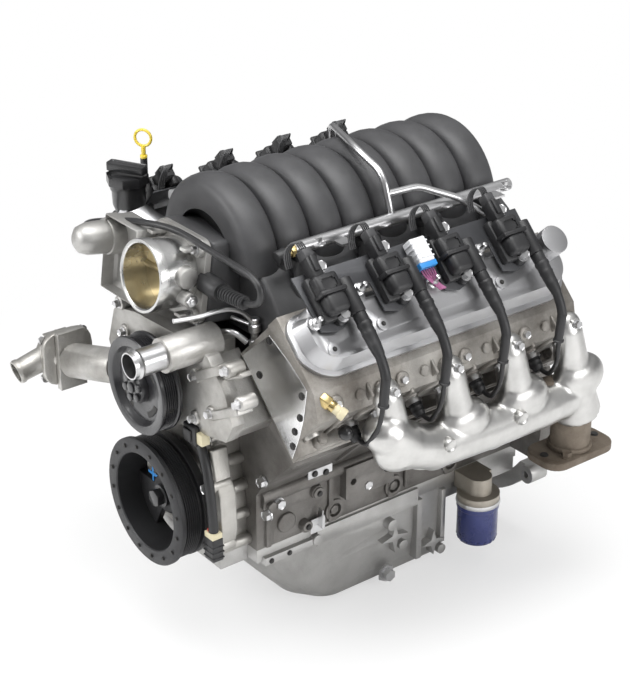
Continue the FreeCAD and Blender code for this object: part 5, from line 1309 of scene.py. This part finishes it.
housing = [turned("spigot", SPIGOT, ELBOW, MOUTH, 32),
           ball("bulb", ELBOW + Vector((0.004, 0.003, -0.002)), 0.0300)]
turns = [math.radians(15 * k + 7.5) for k in range(24)]
plate = outline_piece("plate", [(-0.250, FLANGE_Y + 0.042 * squarish(math.cos(turn)),
                                 FLANGE_Z + 0.043 * squarish(math.sin(turn))) for turn in turns])
housing.append(thicken(plate, (0.010, 0, 0), 0.0015, 2))
for rise in (-0.020, 0.0, 0.020):
    housing.append(soft_box("fin", (-0.288, -0.624 + abs(rise) * 0.2, 0.127 + rise),
                            (-0.244, -0.580, 0.130 + rise), 0.001))
fit(join("thermostat_cast", housing), "cast_aluminium", replaced=("thermostat_housing",), smooth=50)
cover_bolts = [((-0.2505, FLANGE_Y + y, FLANGE_Z + z), (-1, 0, 0))
               for y, z in ((-0.034, 0.030), (0.033, 0.030), (-0.034, -0.031))]
fit(stand(bolt_10, "thermostat_bolts", cover_bolts), "bright_steel")

UPPER_PAD = [(0.090, 0.234), (0.150, 0.268), (0.156, 0.256), (0.096, 0.221)]
LOWER_PAD = [(0.124, 0.188), (0.182, 0.220), (0.188, 0.208), (0.130, 0.176)]
PUMP_RIB = [(0.070, 0.214), (0.176, 0.262), (0.180, 0.256), (0.078, 0.206)]
PUMP_BOSSES = ((0.085, 0.224), (0.160, 0.262), (0.120, 0.182), (0.186, 0.224), (0.080, 0.158),
               (-0.092, 0.222), (-0.102, 0.262))
front = [round_edges(prism("pad", pad, depth, -0.572, 0.002), 0.0004, 1)
         for pad, depth in ((UPPER_PAD, -0.600), (LOWER_PAD, -0.598))]
front += [soft_drum("boss", (x, -0.570, z), (x, -0.596, z), 0.0105, 24, 0.002) for x, z in PUMP_BOSSES]
front.append(prism("rib", PUMP_RIB, -0.586, -0.566, 0.003))
fit(join("pump_bosses", front), "pump_cast", smooth=45)
pump_bolts = [((x, -0.5955, z), (0, -1, 0)) for x, z in PUMP_BOSSES]
fit(stand(bolt_10, "pump_bolts", pump_bolts), "bright_steel")
print("pump bosses:", len(PUMP_BOSSES))

# %% [markdown]
# The fuel rails carry small stamped tabs, a golden union at the front end, a black cap for the
# pressure port and clips that hold each injector. Each is a few bevelled primitives.

# %% Fuel rail fittings
RAIL_LEVEL = 0.385
tabs, clips, posts = [], [], []
for side, first in ((1, LEFT_BORES), (-1, [y + BANK_STAGGER for y in LEFT_BORES])):
    x = side * RAIL_X
    for y in first:
        tabs.append(soft_drum("tab", (x + side * 0.004, y + 0.036, RAIL_LEVEL + 0.001),
                              (x + side * 0.004, y + 0.036, RAIL_LEVEL + 0.004), 0.0115, 20, 0.0008))
        clips.append(soft_box("clip", (x - 0.0115, y - 0.004, RAIL_LEVEL - 0.014),
                              (x + 0.0115, y + 0.020, RAIL_LEVEL + 0.0005), 0.003))
        clips.append(soft_drum("arch", (x - 0.009, y + 0.008, RAIL_LEVEL - 0.024),
                               (x - 0.009, y + 0.008, RAIL_LEVEL - 0.008), 0.0125, 20, 0.002))
    for y in first[::3]:
        posts.append(((x + side * 0.004, y + 0.036, RAIL_LEVEL + 0.0035), (0, 0, 1)))
fit(join("rail_tabs", tabs), "bright_steel")
fit(join("injector_clips", clips), "coil_black")
fit(stand(bolt_10, "rail_bolts", posts), "bright_steel")
union = [drum("union", (RAIL_X, -0.468, RAIL_LEVEL), (RAIL_X, -0.456, RAIL_LEVEL), 0.0092, 6),
         drum("union", (RAIL_X, -0.474, RAIL_LEVEL), (RAIL_X, -0.467, RAIL_LEVEL), 0.0070, 20)]
fit(round_edges(join("rail_union", union), 0.0008, 2), "brass_fitting")
sensor_plug = [soft_drum("plug", (RAIL_X, -0.490, RAIL_LEVEL - 0.004),
                         (RAIL_X, -0.473, RAIL_LEVEL - 0.001), 0.0098, 20, 0.002),
               soft_box("plug", (RAIL_X - 0.008, -0.484, RAIL_LEVEL - 0.020),
                        (RAIL_X + 0.010, -0.472, RAIL_LEVEL - 0.002), 0.002)]
fit(join("rail_plug", sensor_plug), "coil_black")
print("rail fittings:", len(tabs), "tabs")

# %% [markdown]
# Down the front cover runs a pale rib with two bolted bosses, and beside it the wiring of the crank
# sensor: a black sleeve between two connectors with cream and red locks.

# %% Front wiring
STRIP = [(0.086, 0.108), (0.102, 0.112), (0.110, 0.066), (0.120, 0.046), (0.123, -0.010),
         (0.114, -0.052), (0.098, -0.052), (0.096, -0.010), (0.094, 0.030), (0.092, 0.064)]
strip = [prism("strip", STRIP, -0.584, -0.556, 0.003)]
for x, z in ((0.104, 0.058), (0.111, -0.036)):
    strip.append(soft_drum("boss", (x, -0.558, z), (x, -0.592, z), 0.0105, 24, 0.002))
fit(join("front_strip", strip), "cast_aluminium", smooth=45)
front_bolts = [(place, (0, -1, 0)) for place in (
    (0.104, -0.5915, 0.058), (0.111, -0.5915, -0.036), (0.1385, -0.5225, 0.060), (0.150, -0.5225, 0.012))]
fit(stand(bolt_13, "front_bolts", front_bolts), "bright_steel")
sleeve_way = [(0.086, -0.590, 0.116), (0.104, -0.594, 0.098), (0.116, -0.597, 0.060),
              (0.122, -0.598, 0.020), (0.124, -0.598, -0.008)]
wiring = [tube("sleeve", sleeve_way, 0.0072, 16, 8),
          soft_box("connector", (0.112, -0.607, -0.044), (0.134, -0.589, -0.008), 0.002)]
wiring += [soft_box("rib", (0.111, -0.608, z), (0.135, -0.588, z + 0.0025), 0.0006, 1)
           for z in (-0.040, -0.031, -0.022)]
wiring += [soft_box("connector", (0.058, -0.600, 0.116), (0.088, -0.580, 0.146), 0.003),
           soft_box("connector", (0.062, -0.603, 0.122), (0.080, -0.598, 0.140), 0.0015)]
fit(join("front_wiring", wiring), "coil_black", smooth=45)
locks = [soft_box("lock", (0.113, -0.6065, -0.009), (0.133, -0.5895, 0.000), 0.0012),
         soft_box("lock", (0.088, -0.598, 0.122), (0.101, -0.584, 0.140), 0.0015)]
fit(join("front_locks", locks), "cream_plastic")
fit(soft_box("red_lock", (0.116, -0.604, -0.001), (0.126, -0.592, 0.004), 0.001), "red_plastic",
    name="red_lock")
plug_ball = join("plug_ball", [ball("cap", Vector((0.2485, -0.467, 0.166)), 0.0105),
                               drum("cap", (0.240, -0.463, 0.1665), (0.250, -0.467, 0.166), 0.0075, 20)])
fit(plug_ball, "cap_black")
print("front bolts:", len(front_bolts), "and bends in the sleeve:", len(sleeve_way))

# %% [markdown]
# Straight from the camera the floor is mostly white, with just enough of its own grey left near the
# engine to hold a soft shadow, and farther out it is pure white, like the sky. For every other ray
# the floor is matt and the sky runs from dark at the horizon to grey, which gives metal its contrast.

# %% The white floor and sky
FLOOR_HEIGHT = cad_box[0][2]
FLOOR_REACH = 9.0
WHITE_START, WHITE_END, WHITE_LEAST = 0.42, 1.15, 0.55
recipe = Recipe("floor")
camera_ray = recipe.add("ShaderNodeLightPath", output="Is Camera Ray")
reach = recipe.add("ShaderNodeVectorMath", {"operation": "LENGTH"}, {0: recipe.place}, output=1)
plain = (reach.between(WHITE_START, WHITE_END) * (1 - WHITE_LEAST) + WHITE_LEAST) * camera_ray
white = recipe.add("ShaderNodeEmission", {}, {"Color": rgb(1.0, 1.0, 1.0), "Strength": 1.0})
recipe.finish(base_color=rgb(0.90, 0.90, 0.90), roughness=0.9)
matt = Value(recipe, recipe.shader.outputs[0])
both = recipe.add("ShaderNodeMixShader", {}, {0: plain, 1: matt, 2: white})
recipe.feed(recipe.tree.nodes["Material Output"].inputs["Surface"], both)
corners = [(-FLOOR_REACH, -FLOOR_REACH), (FLOOR_REACH, -FLOOR_REACH), (FLOOR_REACH, FLOOR_REACH),
           (-FLOOR_REACH, FLOOR_REACH)]
floor_mesh = bpy.data.meshes.new("floor")
floor_mesh.from_pydata([(x, y, FLOOR_HEIGHT) for x, y in corners], [], [(0, 1, 2, 3)])
floor = bpy.data.objects.new("floor", floor_mesh)
floor.data.materials.append(recipe.material)
bpy.context.scene.collection.objects.link(floor)

sky = bpy.data.worlds.new("sky")
sky.use_nodes = True
nodes, links = sky.node_tree.nodes, sky.node_tree.links
lit, seen = nodes["Background"], nodes.new("ShaderNodeBackground")
lit.inputs[1].default_value = 1.0
direction, parts = nodes.new("ShaderNodeTexCoord"), nodes.new("ShaderNodeSeparateXYZ")
ramp = nodes.new("ShaderNodeValToRGB")
horizon, zenith = ramp.color_ramp.elements
horizon.position, horizon.color = 0.02, rgb(0.10, 0.10, 0.105)
zenith.position, zenith.color = 0.85, rgb(0.72, 0.72, 0.72)
links.new(direction.outputs["Generated"], parts.inputs[0])
links.new(parts.outputs["Z"], ramp.inputs[0])
links.new(ramp.outputs[0], lit.inputs[0])
seen.inputs[0].default_value, seen.inputs[1].default_value = rgb(1.0, 1.0, 1.0), 1.0
path, mix = nodes.new("ShaderNodeLightPath"), nodes.new("ShaderNodeMixShader")
links.new(path.outputs["Is Camera Ray"], mix.inputs[0])
links.new(lit.outputs[0], mix.inputs[1])
links.new(seen.outputs[0], mix.inputs[2])
links.new(mix.outputs[0], nodes["World Output"].inputs[0])
bpy.context.scene.world = sky
print("floor at z =", round(FLOOR_HEIGHT, 4))

# %% The last step
remove(bolt_10, bolt_13)
bpy.context.scene.view_settings.view_transform = "Standard"
